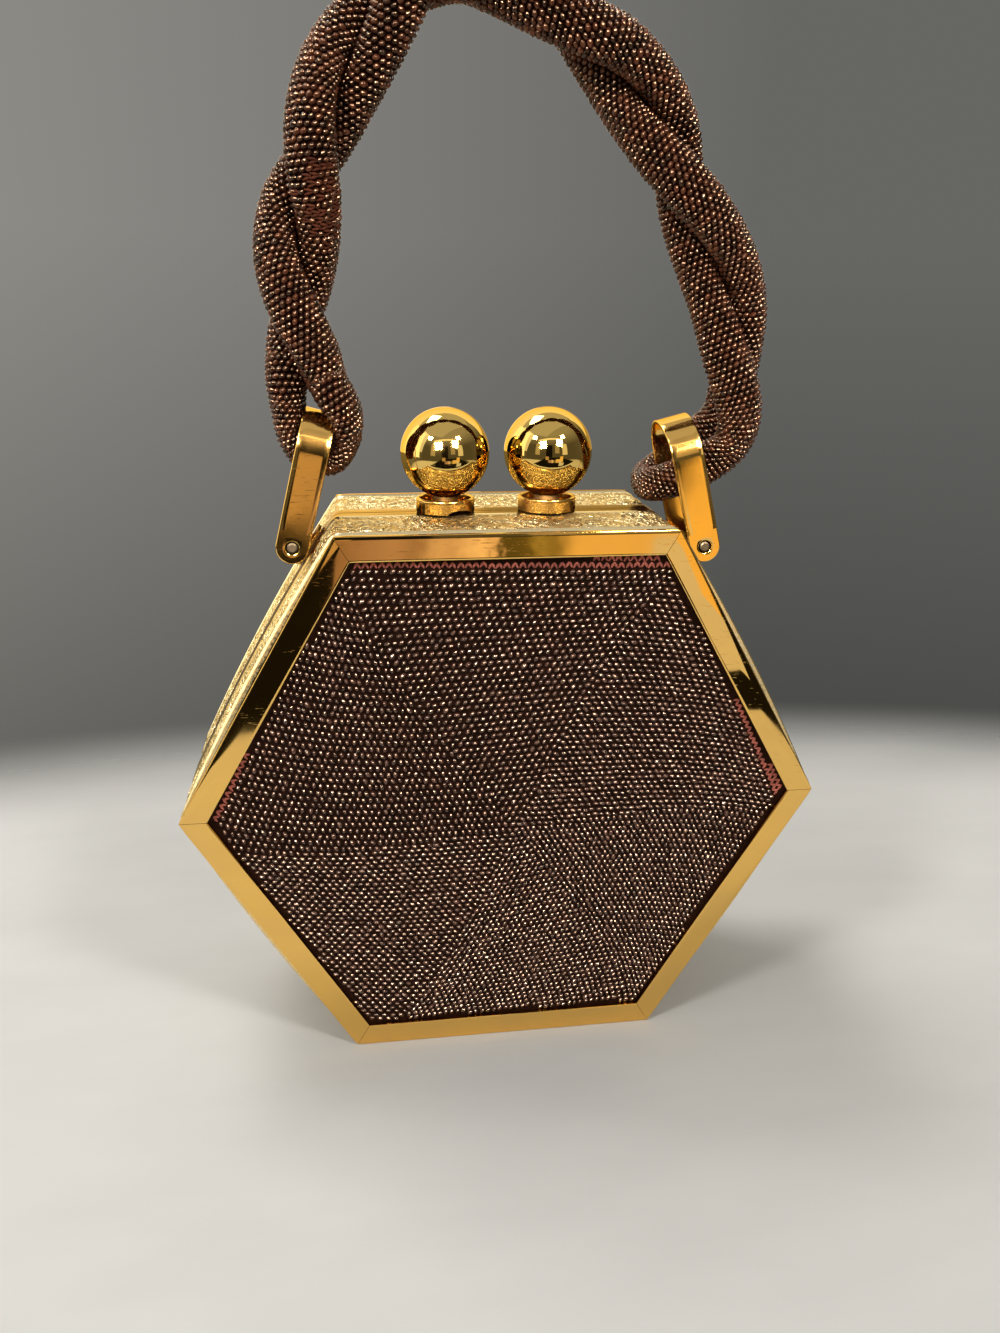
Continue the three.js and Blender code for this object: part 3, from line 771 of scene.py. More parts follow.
def new_material(name, **values):
    """Material with one main shader, whose plain values are set on its own sockets."""
    material = bpy.data.materials.new(name)
    tree, output = empty_tree(material, "ShaderNodeOutputMaterial")
    shader = add_node(tree, "ShaderNodeBsdfPrincipled", **values)
    tree.links.new(shader.outputs["BSDF"], output.inputs["Surface"])
    return tree, shader


def add_bump(tree, shader, height, distance, strength=1.0):
    """Small bumps on the shader, with their height in millimetres."""
    bump = add_node(tree, "ShaderNodeBump", Strength=strength, Distance=distance * MM)
    tree.links.new(height, bump.inputs["Height"])
    tree.links.new(bump.outputs["Normal"], shader.inputs["Normal"])


# Colour that gold keeps where it is seen at a flat angle
EDGE_TINT = (1.0, 0.74, 0.34)


def polished_gold(name, colour, gloss, wear, brush=None):
    """Gold plate with smudges and hairlines; brush is the stretch of a fine grain, if it has one."""
    tree, shader = new_material(name, Metallic=1.0, Specular_Tint=(*EDGE_TINT, 1))
    marks = place_group(tree, "handling_marks")
    worn = tuple(0.78 * part + 0.06 for part in colour)
    tint = mix_colour(tree, rescale(tree, marks.outputs["Smudges"], 0, 1, 0, 0.35), colour, worn)
    tree.links.new(tint, shader.inputs["Base Color"])
    dull = combine(tree, "MAXIMUM", marks.outputs["Smudges"], marks.outputs["Scratches"])
    tree.links.new(rescale(tree, dull, 0, 1, gloss, gloss + wear), shader.inputs["Roughness"])
    height = marks.outputs["Scratches"]
    if brush:
        grain = noise(tree, 300, 2, stretch=brush)
        height = combine(tree, "ADD", combine(tree, "MULTIPLY", grain, 0.6), height)
    add_bump(tree, shader, height, 0.01, 0.35)


def stamped_gold(name, high, low, band):
    """Pale gold stamped with scrolls, paler on the high parts as a painted highlight and brown in the low
    parts as tarnish and painted shade.
    """
    tree, shader = new_material(name, Metallic=1.0, Specular_Tint=(*EDGE_TINT, 1))
    tarnish = place_group(tree, "stamped_tarnish", High=high, Low=low, Band=band)
    tree.links.new(tarnish.outputs["Colour"], shader.inputs["Base Color"])
    tree.links.new(tarnish.outputs["Roughness"], shader.inputs["Roughness"])
    add_bump(tree, shader, tarnish.outputs["Height"], 0.32)


def bead_glass(name, dark, light, ior, glint):
    """Dark lustred glass of the seed beads, with glints of its own tint."""
    tree, shader = new_material(name, IOR=ior, Specular_Tint=(*glint, 1))
    lustre = place_group(tree, "bead_lustre", Dark=dark, Light=light)
    tree.links.new(lustre.outputs["Colour"], shader.inputs["Base Color"])
    tree.links.new(lustre.outputs["Roughness"], shader.inputs["Roughness"])
    add_bump(tree, shader, lustre.outputs["Facets"], 0.16, 0.8)


def crochet_thread(name, colour):
    """Dull thread with a fine twist."""
    tree, shader = new_material(name, Roughness=0.9, Specular_IOR_Level=0)
    lay = place_group(tree, "thread_lay", Thread=colour)
    tree.links.new(lay.outputs["Colour"], shader.inputs["Base Color"])
    add_bump(tree, shader, lay.outputs["Twist"], 0.15, 0.8)


def rivet_metal(name, colour):
    """Dull brownish metal with a fine grain and smudges."""
    tree, shader = new_material(name, Metallic=1.0)
    marks = place_group(tree, "handling_marks")
    dark = tuple(0.55 * part for part in colour)
    tint = mix_colour(tree, marks.outputs["Smudges"], colour, dark)
    tree.links.new(tint, shader.inputs["Base Color"])
    tree.links.new(rescale(tree, marks.outputs["Smudges"], 0, 1, 0.42, 0.6), shader.inputs["Roughness"])
    add_bump(tree, shader, noise(tree, 2500, 2), 0.02, 0.5)


def lining_board(name, colour):
    """Plain brown board behind the bead cloth, seen inside the open bag."""
    tree, shader = new_material(name, Roughness=0.9, Specular_IOR_Level=0)
    fibres = noise(tree, 420, 4, stretch=(1, 1, 2.5))
    pale = tuple(min(1.0, 2.2 * part + 0.02) for part in colour)
    tree.links.new(mix_colour(tree, fibres, colour, pale), shader.inputs["Base Color"])
    add_bump(tree, shader, fibres, 0.08, 0.6)


# Finishes: maker, names of its colours in the settings, and its plain values, which are gloss, wear and
# grain for polished gold, and refraction and the tint of the glints for bead glass
FINISHES = {
    "bezel_gold": (polished_gold, ["gold"], 0.022, 0.05),
    "ball_gold": (polished_gold, ["gold_ball"], 0.03, 0.05),
    "link_gold": (polished_gold, ["gold"], 0.06, 0.10),
    "collar_gold": (polished_gold, ["gold"], 0.12, 0.16, (1, 1, 12)),
    "recess_gold": (polished_gold, ["gold_dark"], 0.35, 0.25),
    "stamped_gold": (stamped_gold, ["gold_pale", "gold_recess", "gold_band"]),
    "panel_beads": (bead_glass, ["bead_dark", "bead_light"], 1.88, (1.0, 0.80, 0.65)),
    "rope_beads": (bead_glass, ["rope_dark", "rope_light"], 1.6, (1.0, 0.74, 0.52)),
    "panel_thread": (crochet_thread, ["thread"]),
    # The grounds are the threads darkened as painted shade between the beads
    "panel_ground": (crochet_thread, ["ground"]),
    "rope_thread": (crochet_thread, ["rope_thread"]),
    "rope_ground": (crochet_thread, ["rope_ground"]),
    "lining_board": (lining_board, ["lining"]),
    "rivet_metal": (rivet_metal, ["steel"]),
}


def finish_of(name):
    """A finish of the bag, made the first time it is asked for."""
    if name not in bpy.data.materials:
        maker, labels, *values = FINISHES[name]
        maker(name, *(getattr(bpy.context.scene.bag_colours, label) for label in labels), *values)
    return bpy.data.materials[name]


# Hexagons, in the plane of the faces: x to the right, z up


def hex_corner(index, inset):
    """Corner of the standing hexagon, counted from the right corner anticlockwise."""
    radius = HEX_RADIUS - inset / math.cos(math.pi / 6)
    angle = index * math.pi / 3
    return np.array([radius * math.cos(angle), APOTHEM + radius * math.sin(angle)])


def hex_reach(x, z):
    """Distance from the hexagon's middle, measured square to the nearest side."""
    angles = np.pi / 6 + np.arange(6) * np.pi / 3
    return np.max([x * math.cos(a) + (z - APOTHEM) * math.sin(a) for a in angles], 0)


def wall_outline(inset, bow):
    """Closed outline of a tray wall: slanted sides swell, level ones are flat, corners are bent round."""
    sides = []
    for index, steps in enumerate(SIDE_COLUMNS):
        start = hex_corner(index, inset)
        along = hex_corner(index + 1, inset) - start
        length = np.linalg.norm(along)
        outward = np.array([along[1], -along[0]]) / length
        rise = 0 if index % 3 == 1 else bow
        t = np.linspace(WALL_CORNER / length, 1 - WALL_CORNER / length, steps)[:, None]
        sides.append(start + t * along + 4 * rise * t * (1 - t) * outward)
    outline = []
    for index, side in enumerate(sides):
        before, corner = sides[index - 1][-1], hex_corner(index, inset)
        t = np.linspace(0, 1, CORNER_COLUMNS + 2)[1:-1, None]
        outline.append((1 - t) ** 2 * before + 2 * t * (1 - t) * corner + t ** 2 * side[0])
        outline.append(side)
    return np.vstack(outline)


def outline_normals(outline):
    """Outward direction at each point of a closed outline that runs anticlockwise."""
    along = np.roll(outline, -1, 0) - np.roll(outline, 1, 0)
    return unit(np.stack([along[:, 1], -along[:, 0]], 1))


# Bezels


def bezel_section(crown, roll):
    """Cross-section of a strip as (inset, y) rows: face rolled off outside and bevelled inside."""
    corner = np.linspace(0, np.pi / 2, BEZEL_EDGE_STEPS)
    rows = [(0, BEZEL_BACK_Y)]
    face = HALF_DEPTH - crown
    rows += [(BEZEL_EDGE * (1 - math.cos(a)), face - BEZEL_EDGE * (1 - math.sin(a))) for a in corner]
    v = np.linspace(0, 1, BEZEL_FACE_STEPS)[1:]
    inner = BEZEL_WIDTH - BEZEL_BEVEL_WIDTH
    rolled = crown * (1 - np.clip(1 - v / roll, 0, 1) ** 2)
    rows += [(BEZEL_EDGE + (inner - BEZEL_EDGE) * s, face + rise) for s, rise in zip(v, rolled)]
    rows += [(BEZEL_WIDTH, HALF_DEPTH - BEZEL_BEVEL_DROP), (BEZEL_WIDTH, BEZEL_BACK_Y)]
    return np.array(rows)


def bezel_strip(index, side, crown, mitre):
    """One mitred strip of a bezel, with its two ends closed."""
    section = bezel_section(crown, BEZEL_ROLLS[index])
    t = np.linspace(0, 1, BEZEL_STEPS + 1)
    points = np.empty((len(section), len(t), 3))
    for row, (inset, y) in enumerate(section):
        start, end = hex_corner(index, inset), hex_corner(index + 1, inset)
        along = (end - start) / np.linalg.norm(end - start)
        line = (start + along * mitre / 2) + t[:, None] * (end - start - along * mitre)
        away = line - (0, APOTHEM)
        far = np.linalg.norm(away, axis=1, keepdims=True)
        line = (0, APOTHEM) + away * np.minimum(1, BEZEL_CORNER_RADIUS / far)
        waves = np.sin(BEZEL_WAVES * t + BEZEL_WAVE_SHIFT * index)
        waves = waves * np.sin(BEZEL_WAVES_ACROSS * inset + index) * BEZEL_WAVE_HEIGHT
        points[row, :, 0] = line[:, 0]
        points[row, :, 1] = side * (y + (waves if y > BEZEL_BACK_Y else 0))
        points[row, :, 2] = line[:, 1]
    rows, columns = points.shape[:2]
    points = points.reshape(-1, 3)
    quads = grid_quads(rows, columns, True, False)
    first = np.arange(rows) * columns
    fan = np.arange(1, rows - 1)
    near, far = (
        np.stack([np.full(len(fan), ends[0]), ends[fan], ends[fan + 1]], 1)
        for ends in (first, first + columns - 1))
    return points, facing_out(points, quads, np.vstack([near[:, ::-1], far]))


class HANDBAG_OT_bezels(bpy.types.Operator):
    """Polished frames of six mitred strips on the front and back face"""

    bl_idname = "handbag.bezels"
    bl_label = "Bezels"

    def execute(self, context):
        sizes = context.scene.bag_sizes
        for half, side in HALVES:
            strips = [bezel_strip(k, side, sizes.bezel_crown / MM, sizes.mitre_gap / MM) for k in range(6)]
            add_piece(f"{half}_bezel_strips", *joined(strips), BEZEL_SHARP, f"{half}_half",
                      "gold_polished", ["bezel_gold"], [f"{half}_bezel"])
        return {"FINISHED"}


# Gussets


def ridge(grid, line, half_width):
    """Rounded ridge along a line of points: 1 on the line and 0 at its half width."""
    nearest = np.full(len(grid), np.inf)
    for part in np.array_split(line, max(1, len(line) // 60)):
        gap = ((grid[:, None, :] - part[None]) ** 2).sum(2).min(1)
        nearest = np.minimum(nearest, gap)
    return np.sqrt(np.clip(1 - nearest / half_width ** 2, 0, 1))


def leaf(grid, base, tip, half_width):
    """Pointed leaf with a groove along its middle."""
    base, tip = np.asarray(base), np.asarray(tip)
    length = np.linalg.norm(tip - base)
    along = (tip - base) / length
    offset = grid - (base + tip) / 2
    a = 2 * (offset @ along) / length
    width = half_width * (LEAF_MIDDLE - LEAF_TAPER * a).clip(LEAF_LEAST)
    b = (offset @ np.array([-along[1], along[0]])) / width
    body = np.sqrt(np.clip(1 - a ** 2 - b ** 2, 0, 1))
    return body * (1 - LEAF_GROOVE_DEPTH * np.exp(-(b / LEAF_GROOVE_WIDTH) ** 2))


def pointing(angle):
    """Direction at an angle in the plane of the strip."""
    return np.array([math.cos(angle), math.sin(angle)])


def scroll_cell(cell, height):
    """Ornament of one bay of a running vine: shifted and mirrored copies fill the neighbouring bays.

    Returns the lines as (points, half width) and the leaves as (base, tip, half width)."""
    amplitude, middle = STEM_SWING * height, np.array([cell / 2, -SPIRAL_DROP * height])
    s = np.linspace(-0.1 * cell, 1.1 * cell, 60)
    lines = [(np.stack([s, amplitude * np.sin(np.pi * s / cell)], 1), STEM_HALF_WIDTH)]
    turn = np.linspace(0, 1, 90)
    angle = SPIRAL_START - turn * 2 * np.pi * SPIRAL_TURNS
    radius = SPIRAL_RADIUS * height * (1 - SPIRAL_TAPER * turn)
    spiral = middle + radius[:, None] * np.stack([np.cos(angle), np.sin(angle)], 1)
    lines.append((spiral, SPIRAL_HALF_WIDTH))
    berry = np.linspace(0, 2 * np.pi, 9)[:-1]
    berry = middle + BERRY_RADIUS * np.stack([np.cos(berry), np.sin(berry)], 1)
    lines.append((berry, BERRY_HALF_WIDTH))
    leaves = []
    gap, reach, half_width = SPIRAL_LEAF
    for k in range(4, 64, 8):
        out = pointing(angle[k] - SPIRAL_LEAF_LEAN)
        leaves.append((spiral[k] + gap * out, spiral[k] + (reach - SPIRAL_LEAF_LOSS * k) * out, half_width))
    gap, reach, half_width = STEM_LEAF
    for place, lean in STEM_LEAVES:
        root = np.array([place * cell, amplitude * math.sin(math.pi * place)])
        out = pointing(math.radians(lean))
        leaves.append((root + gap * out, root + reach * out, half_width))
    gap, reach, half_width = FAN_LEAF
    for lean in FAN_LEAVES:
        root = np.array([0.0, -FAN_DROP * height])
        out = pointing(math.radians(lean))
        leaves.append((root + gap * out, root + reach * out, half_width))
    return lines, leaves


def scroll_relief(s, y, cell, height):
    """Height from 0 to 1 of the running scroll at places along and across the stamped strip."""
    bay = np.floor(s / cell)
    grid = np.stack([s - bay * cell, y * np.where(bay % 2 == 0, 1, -1)], 1)
    lines, leaves = scroll_cell(cell, height)
    raised = np.zeros(len(grid))
    for step in (-1, 0, 1):
        shift = np.array([step * cell, 0])
        flip = np.array([1, -1 if step else 1])
        for line, half_width in lines:
            raised = np.maximum(raised, ridge(grid, line * flip + shift, half_width))
        for base, tip, half_width in leaves:
            shape = leaf(grid, base * flip + shift, tip * flip + shift, half_width)
            raised = np.maximum(raised, LEAF_HEIGHT * shape)
    return raised


def gusset_rows():
    """Rows across the outside of a wall, from the bezel to the seam, as depths of its two ribs."""
    ribs = np.linspace(0, RIB_COUNT * RIB_PITCH, RIB_ROWS * RIB_COUNT + 1)
    rib_depth = RIB_DEPTH * (1 - np.abs(np.sin(np.pi * ribs / RIB_PITCH)) ** RIB_ROUNDNESS)
    start = WALL_FACE_Y - ribs[-1] - RIB_DEPTH
    stamped = np.linspace(start, SMOOTH_BAND, RELIEF_ROWS)
    band = np.linspace(SMOOTH_BAND, SEAM_Y, SMOOTH_BAND_ROWS + 1)[1:]
    y = np.concatenate([WALL_FACE_Y - ribs, stamped, band])
    depth = np.concatenate([rib_depth, np.zeros(len(stamped) + len(band))])
    return y, depth, start


def gusset_points(side, relief_depth):
    """Grid of a closed wall: outside rows with ribs and scrolls, then the inside rows with the ledge."""
    outline = wall_outline(0, WALL_BOW)
    normals = outline_normals(outline)
    y, depth, stamped_top = gusset_rows()
    steps = np.linalg.norm(np.roll(outline, -1, 0) - outline, axis=1)
    s = np.concatenate([[0], np.cumsum(steps)[:-1]])
    cell = steps.sum() / (2 * REPEATS_AROUND)
    middle, height = (stamped_top + SMOOTH_BAND) / 2, stamped_top - SMOOTH_BAND
    stamped = (y <= stamped_top) & (y >= SMOOTH_BAND)
    rows, columns = np.meshgrid(y[stamped] - middle, s, indexing="ij")
    raised = scroll_relief(columns.ravel(), rows.ravel(), cell, height).reshape(rows.shape)
    edge = np.clip((height / 2 - np.abs(rows)) / RELIEF_MARGIN, 0, 1)
    relief = np.ones((len(y), len(s)))
    relief[stamped] = 1 - edge * (1 - raised)
    ground = np.zeros((len(y), len(s)))
    ground[stamped] = edge
    band = np.zeros((len(y), len(s)))
    band[y < SMOOTH_BAND] = 1
    deep = depth[:, None] + relief_depth * (1 - relief)
    in_slot = outline[:, 1] < SLOT_TOP
    outside_y = np.repeat(y[:, None], len(s), 1)
    outside_y[:, in_slot] = np.maximum(outside_y[:, in_slot], SLOT_HALF_WIDTH)
    outside = outline[None] - deep[:, :, None] * normals[None]
    inside_rows = (
        (WALL_THICK, SEAM_Y, WALL_BOW),
        (WALL_THICK, LEDGE_BACK_Y - WALL_THICK, WALL_BOW),
        (WALL_THICK + LEDGE_WIDTH, LEDGE_BACK_Y - WALL_THICK, 0),
        (WALL_THICK + LEDGE_WIDTH, LEDGE_BACK_Y, 0),
        (WALL_THICK + RIB_DEPTH, LEDGE_BACK_Y, WALL_BOW),
        (WALL_THICK + RIB_DEPTH, WALL_FACE_Y, WALL_BOW),
    )
    inside = np.array([wall_outline(inset, bow) for inset, _, bow in inside_rows])
    inside_y = np.repeat(np.array([row[1] for row in inside_rows])[:, None], len(s), 1)
    inside_y[:, in_slot] = np.maximum(inside_y[:, in_slot], SLOT_HALF_WIDTH)
    flat = np.concatenate([outside, inside])
    depth_y = np.concatenate([outside_y, inside_y])
    points = np.stack([flat[:, :, 0], side * depth_y, flat[:, :, 1]], 2)
    within = np.zeros(inside.shape[:2])
    # The relief mark is lowered in the rib grooves and set lower on the inside of the wall, which paints
    # shade there
    marks = {
        "relief": np.concatenate([relief - RIB_SHADE * depth[:, None] / RIB_DEPTH, within + INSIDE_SHADE]),
        "stamped": np.concatenate([ground, within]),
        "seam_band": np.concatenate([band, within]),
    }
    return points, marks


class HANDBAG_OT_gussets(bpy.types.Operator):
    """Side walls of both trays, stamped with a running scroll between ribs and seam"""

    bl_idname = "handbag.gussets"
    bl_label = "Side walls"

    def execute(self, context):
        depth = context.scene.bag_sizes.relief_depth / MM
        for half, side in HALVES:
            grid, marks = gusset_points(side, depth)
            points = grid.reshape(-1, 3)
            quads = grid_quads(*grid.shape[:2], True, True)
            piece = add_piece(f"{half}_stamped_wall", points, facing_out(points, quads), WALL_SHARP,
                              f"{half}_half", "gold_embossed", ["stamped_gold"], [f"{half}_gusset"])
            for attribute, values in marks.items():
                paint(piece.data, attribute, values.ravel())
        return {"FINISHED"}


# Bead panels


def panel_swell(x, z, crown):
    """How far the padded panel stands out at a place on its face."""
    reach = hex_reach(x, z) / (APOTHEM - BEZEL_WIDTH)
    return crown * np.clip(1 - reach ** 2, 0, 1)


def crochet_lattice(half, pitch):
    """Places of the crochet stitches on a face, with the direction of each round and its number."""
    work = BEADWORK[half]
    first_turn, last_turn = (math.radians(turn) for turn in work["turns"])
    places, lines, numbers = [np.zeros((1, 2))], [np.array([[1.0, 0.0]])], [np.zeros(1, int)]
    for number in range(1, work["rounds"] + SPARE_ROUNDS):
        turn = first_turn + (last_turn - first_turn) * min(1, number / work["rounds"]) ** 3
        share = (np.arange(number) + (STITCH_SLIP * number) % 1)[:, None] / number
        for wedge in range(6):
            spokes = np.array([wedge, wedge + 1]) * np.pi / 3 + turn
            reach = number * pitch * (1 + work["pull"] * np.cos(spokes - PULL_ANGLE))
            start, end = (r * np.array([math.cos(a), math.sin(a)]) for r, a in zip(reach, spokes))
            places.append(start + share * (end - start))
            lines.append(np.repeat([(end - start) / np.linalg.norm(end - start)], number, 0))
            numbers.append(np.full(number, number))
    places = np.vstack(places) + work["shift"] + (0, APOTHEM)
    shown = hex_reach(places[:, 0], places[:, 1]) < APOTHEM - BEZEL_WIDTH - EDGE_ROOM
    return places[shown], np.vstack(lines)[shown], np.concatenate(numbers)[shown]


def on_face(flat, side, lift):
    """Points or directions of a face as seen from outside, set in space."""
    return np.stack([-side * flat[:, 0], np.full(len(flat), side) * lift, flat[:, 1]], 1)


def turned_in_plane(lines, angles):
    """Directions in a plane, turned by an angle each."""
    cos, sin = np.cos(angles), np.sin(angles)
    return np.stack([lines[:, 0] * cos - lines[:, 1] * sin, lines[:, 0] * sin + lines[:, 1] * cos], 1)


class HANDBAG_OT_bead_cloths(bpy.types.Operator):
    """Crochet cloth on a padded board in each face"""

    bl_idname = "handbag.bead_cloths"
    bl_label = "Bead cloths"

    def execute(self, context):
        crown = context.scene.bag_sizes.cloth_crown / MM
        share = np.linspace(0, 1, CLOTH_RINGS + 1)[1:, None]
        angles = np.arange(CLOTH_SIDES) * 2 * np.pi / CLOTH_SIDES
        slant = np.cos((angles + np.pi / 6) % (np.pi / 3) - np.pi / 6)
        reach = np.roll((APOTHEM - BEZEL_WIDTH + PANEL_TUCK) / slant, CLOTH_SIDES // 12)
        x = (share * reach * np.cos(angles)).ravel()
        z = (share * reach * np.sin(angles)).ravel() + APOTHEM
        for half, side in HALVES:
            front = np.stack([x, side * (PANEL_FACE_Y + panel_swell(x, z, crown)), z], 1)
            rim = front[-CLOTH_SIDES:] * (1, 0, 1) + (0, side * PANEL_BACK_Y, 0)
            hubs = [(0, side * (PANEL_FACE_Y + crown), APOTHEM), (0, side * PANEL_BACK_Y, APOTHEM)]
            points = np.vstack([front, rim, hubs])
            faces = facing_out(points, *capped_faces(CLOTH_RINGS + 1, CLOTH_SIDES))
            # The cloth's face takes the near-black panel ground, painted shade between the beads
            piece = add_piece(f"{half}_bead_cloth", points, faces, CLOTH_SHARP, f"{half}_half", "bead_cloth",
                              ["panel_ground", "lining_board"], [f"{half}_bead_panel"])
            inner = np.zeros(len(piece.data.polygons), np.int32)
            inner[-CLOTH_SIDES:] = 1
            piece.data.polygons.foreach_set("material_index", inner)
        return {"FINISHED"}


class HANDBAG_OT_panel_beads(bpy.types.Operator):
    """Seed beads on every stitch of the panels, and bare stitches in the rounds past the last bead"""

    bl_idname = "handbag.panel_beads"
    bl_label = "Panel beads"

    def execute(self, context):
        sizes = context.scene.bag_sizes
        crown = sizes.cloth_crown / MM
        for half, side in HALVES:
            chance = np.random.default_rng(SEED + side)
            flat, lines, numbers = crochet_lattice(half, sizes.bead_pitch / MM)
            flat = flat + chance.normal(0, STITCH_JITTER, flat.shape)
            lift = PANEL_FACE_Y + panel_swell(flat[:, 0], flat[:, 1], crown)
            beaded = numbers <= BEADWORK[half]["rounds"]
            count = int(beaded.sum())
            lean = BEAD_LEAN + chance.normal(0, BEAD_LEAN_SPREAD, count)
            along = on_face(turned_in_plane(lines[beaded], lean), side, 0)
            up = unit(on_face(chance.normal(0, BEAD_TIP_SPREAD, (count, 2)), side, 1))
            half_sizes = bead_half_sizes(
                sizes.bead_length, sizes.bead_width, BEAD_HEIGHT, BEAD_SIZE_SPREAD, count, chance)
            places = on_face(flat[beaded], side, lift[beaded] - BEAD_SINK)
            tone = chance.beta(*BEAD_TONES, count)
            body = f"{half}_half"
            add_beads(f"{half}_panel_beads", PANEL_BEAD, places, along, up, half_sizes, tone,
                      body, "bead_cloth", "panel_beads")
            if not beaded.all():
                legs = self.stitch_legs(side, flat[~beaded], lines[~beaded], lift[~beaded])
                add_stitches(f"{half}_bare_stitches", legs, STITCH_HALF_SIZES,
                             body, "bead_cloth", "panel_thread")
        return {"FINISHED"}

    def stitch_legs(self, side, flat, lines, lift):
        """Both legs of the bare stitches, which stand across their round as a V."""
        legs = []
        for lean in (-1, 1):
            places = on_face(flat + lines * STITCH_SPREAD * lean, side, lift - STITCH_SINK)
            slant = np.full(len(lines), math.radians(90 - STITCH_SLANT * lean))
            up = on_face(np.zeros((len(flat), 2)), side, 1)
            legs.append((places, on_face(turned_in_plane(lines, slant), side, 0), up))
        return legs


# Clasp


def ball_profile():
    """Ball and neck from the foot of the neck to the top of the ball."""
    foot = BALL_LOW[2]
    meets = math.asin(NECK_RADIUS / BALL_RADIUS)
    angles = np.linspace(meets, np.pi, BALL_RINGS)
    ball = [(BALL_RADIUS * math.sin(a), BALL_Z - BALL_RADIUS * math.cos(a)) for a in angles[:-1]]
    neck = [(0, foot), (NECK_RADIUS - NECK_EDGE, foot), (NECK_RADIUS, foot + NECK_EDGE)]
    return [*neck, *ball, (0, BALL_HIGH[2])]


def collar_profile():
    """Turned cup: round lip, a fine groove under it, and a floor inside."""
    low, top, radius = COLLAR_LOW[2], COLLAR_HIGH[2], COLLAR_RADIUS
    lip, inner = COLLAR_RIM / 2, radius - COLLAR_RIM
    floor, groove = low + COLLAR_FLOOR, top - GROOVE_DROP
    arc = np.linspace(0, np.pi, LIP_RINGS)
    rim = [(radius - lip + lip * math.cos(a), top - LIP_HEIGHT * (1 - math.sin(a))) for a in arc]
    return [
        (0, low), (radius - COLLAR_EDGE, low), (radius, low + COLLAR_EDGE), (radius, low + COLLAR_BAND),
        (radius, groove - GROOVE_DEPTH), (radius - GROOVE_DEPTH, groove), (radius, groove + GROOVE_DEPTH),
        *rim, (inner, floor + COLLAR_FILLET), (inner - COLLAR_FILLET, floor), (0, floor),
    ]


def notch_cut(points):
    """Raises the foot of the cup at its lower front, in an arch."""
    low = COLLAR_LOW[2]
    across = np.clip(1 - ((points[:, :, 0] - NOTCH_X) / NOTCH_HALF_WIDTH) ** 2, 0, 1)
    at_front = points[:, :, 1] < -NOTCH_FRONT * COLLAR_RADIUS
    arch = np.where(at_front, low + NOTCH_RISE * np.sqrt(across), low)
    near_foot = points[:, :, 2] < low + NOTCH_RISE
    points[:, :, 2] = np.where(near_foot, np.maximum(points[:, :, 2], arch), points[:, :, 2])
    return points


def darken_neck(mesh):
    """Gives the neck under a ball the second finish, dark gold that paints the shade under the ball."""
    count = len(mesh.polygons)
    centres = np.empty(3 * count, np.float32)
    mesh.polygons.foreach_get("center", centres)
    centres = centres.reshape(-1, 3) / MM
    axis = np.sign(centres[:, 0]) * BALL_X
    near = np.hypot(centres[:, 0] - axis, centres[:, 1]) < NECK_RADIUS + NECK_ROOM
    mesh.polygons.foreach_set("material_index", (near & (centres[:, 2] < BALL_Z)).astype(np.int32))


class HANDBAG_OT_clasp(bpy.types.Operator):
    """Two mirror-bright balls on necks, each in a turned cup"""

    bl_idname = "handbag.clasp"
    bl_label = "Clasp"

    def execute(self, context):
        for hand, x, half, shape in (("left", -BALL_X, "back", notch_cut), ("right", BALL_X, "front", None)):
            body = f"{half}_half"
            points, faces = turned_mesh(ball_profile(), TURNED_SIDES)
            knob = add_piece(f"clasp_knob_{hand}", points + (x, 0, 0), faces, KNOB_SHARP, body,
                             "gold_polished", ["ball_gold", "recess_gold"], [f"clasp_ball_{hand}"])
            darken_neck(knob.data)
            points, faces = turned_mesh(collar_profile(), TURNED_SIDES, shape)
            add_piece(f"clasp_cup_{hand}", points + (x, 0, 0), faces, CUP_SHARP, body,
                      "gold_polished", ["collar_gold"], [f"clasp_collar_{hand}"])
        return {"FINISHED"}


# Handle links and rivets


def link_end(inset):
    """Round foot of a link laid flat: rings from the rivet hole to the outline with its straight top."""
    half = LINK_WIDTH / 2
    edge = half - inset
    down = [(edge, half * (1 - k / LINK_SIDE_STEPS)) for k in range(LINK_SIDE_STEPS)]
    arc = np.linspace(0, -np.pi, LINK_ROUND_STEPS + 1)
    bottom = [(edge * math.cos(a), edge * math.sin(a)) for a in arc]
    up = [(-edge, half * k / LINK_SIDE_STEPS) for k in range(1, LINK_SIDE_STEPS)]
    top = [(u, half) for u in np.linspace(-edge, edge, LINK_COLUMNS)[:-1]]
    outline = np.array(down + bottom + up + top)
    hole = unit(outline) * (RIVET_HOLE + inset)
    share = np.linspace(0, 1, LINK_RINGS)[:, None, None]
    return hole[None] * (1 - share) + outline[None] * share


def link_run():
    """Length of the strip between the two rivet holes, along the middle of its thickness."""
    middle = LINK_HALF_SPAN - LINK_THICK / 2
    leg = LINK_TOP - LINK_HALF_SPAN
    return leg, middle, 2 * leg + np.pi * middle


def link_flat(inset):
    """Strip laid flat, as (across, along) points: one foot, the rows between, and the other foot."""
    leg, middle, length = link_run()
    half = LINK_WIDTH / 2
    foot = link_end(inset).reshape(-1, 2)
    legs = np.linspace(half, leg, LINK_LEG_ROWS)[1:]
    arch = np.linspace(leg, leg + np.pi * middle, LINK_ARCH_ROWS)[1:]
    along = np.concatenate([legs, arch, (length - legs[::-1])[1:]])
    along = np.concatenate([[half], along, [length - half]])
    across = np.linspace(-half + inset, half - inset, LINK_COLUMNS)
    u, s = np.meshgrid(across, along)
    strip = np.stack([u.ravel(), s.ravel()], 1)
    return np.vstack([foot, strip, foot * (1, -1) + (0, length)]), len(foot), len(along)


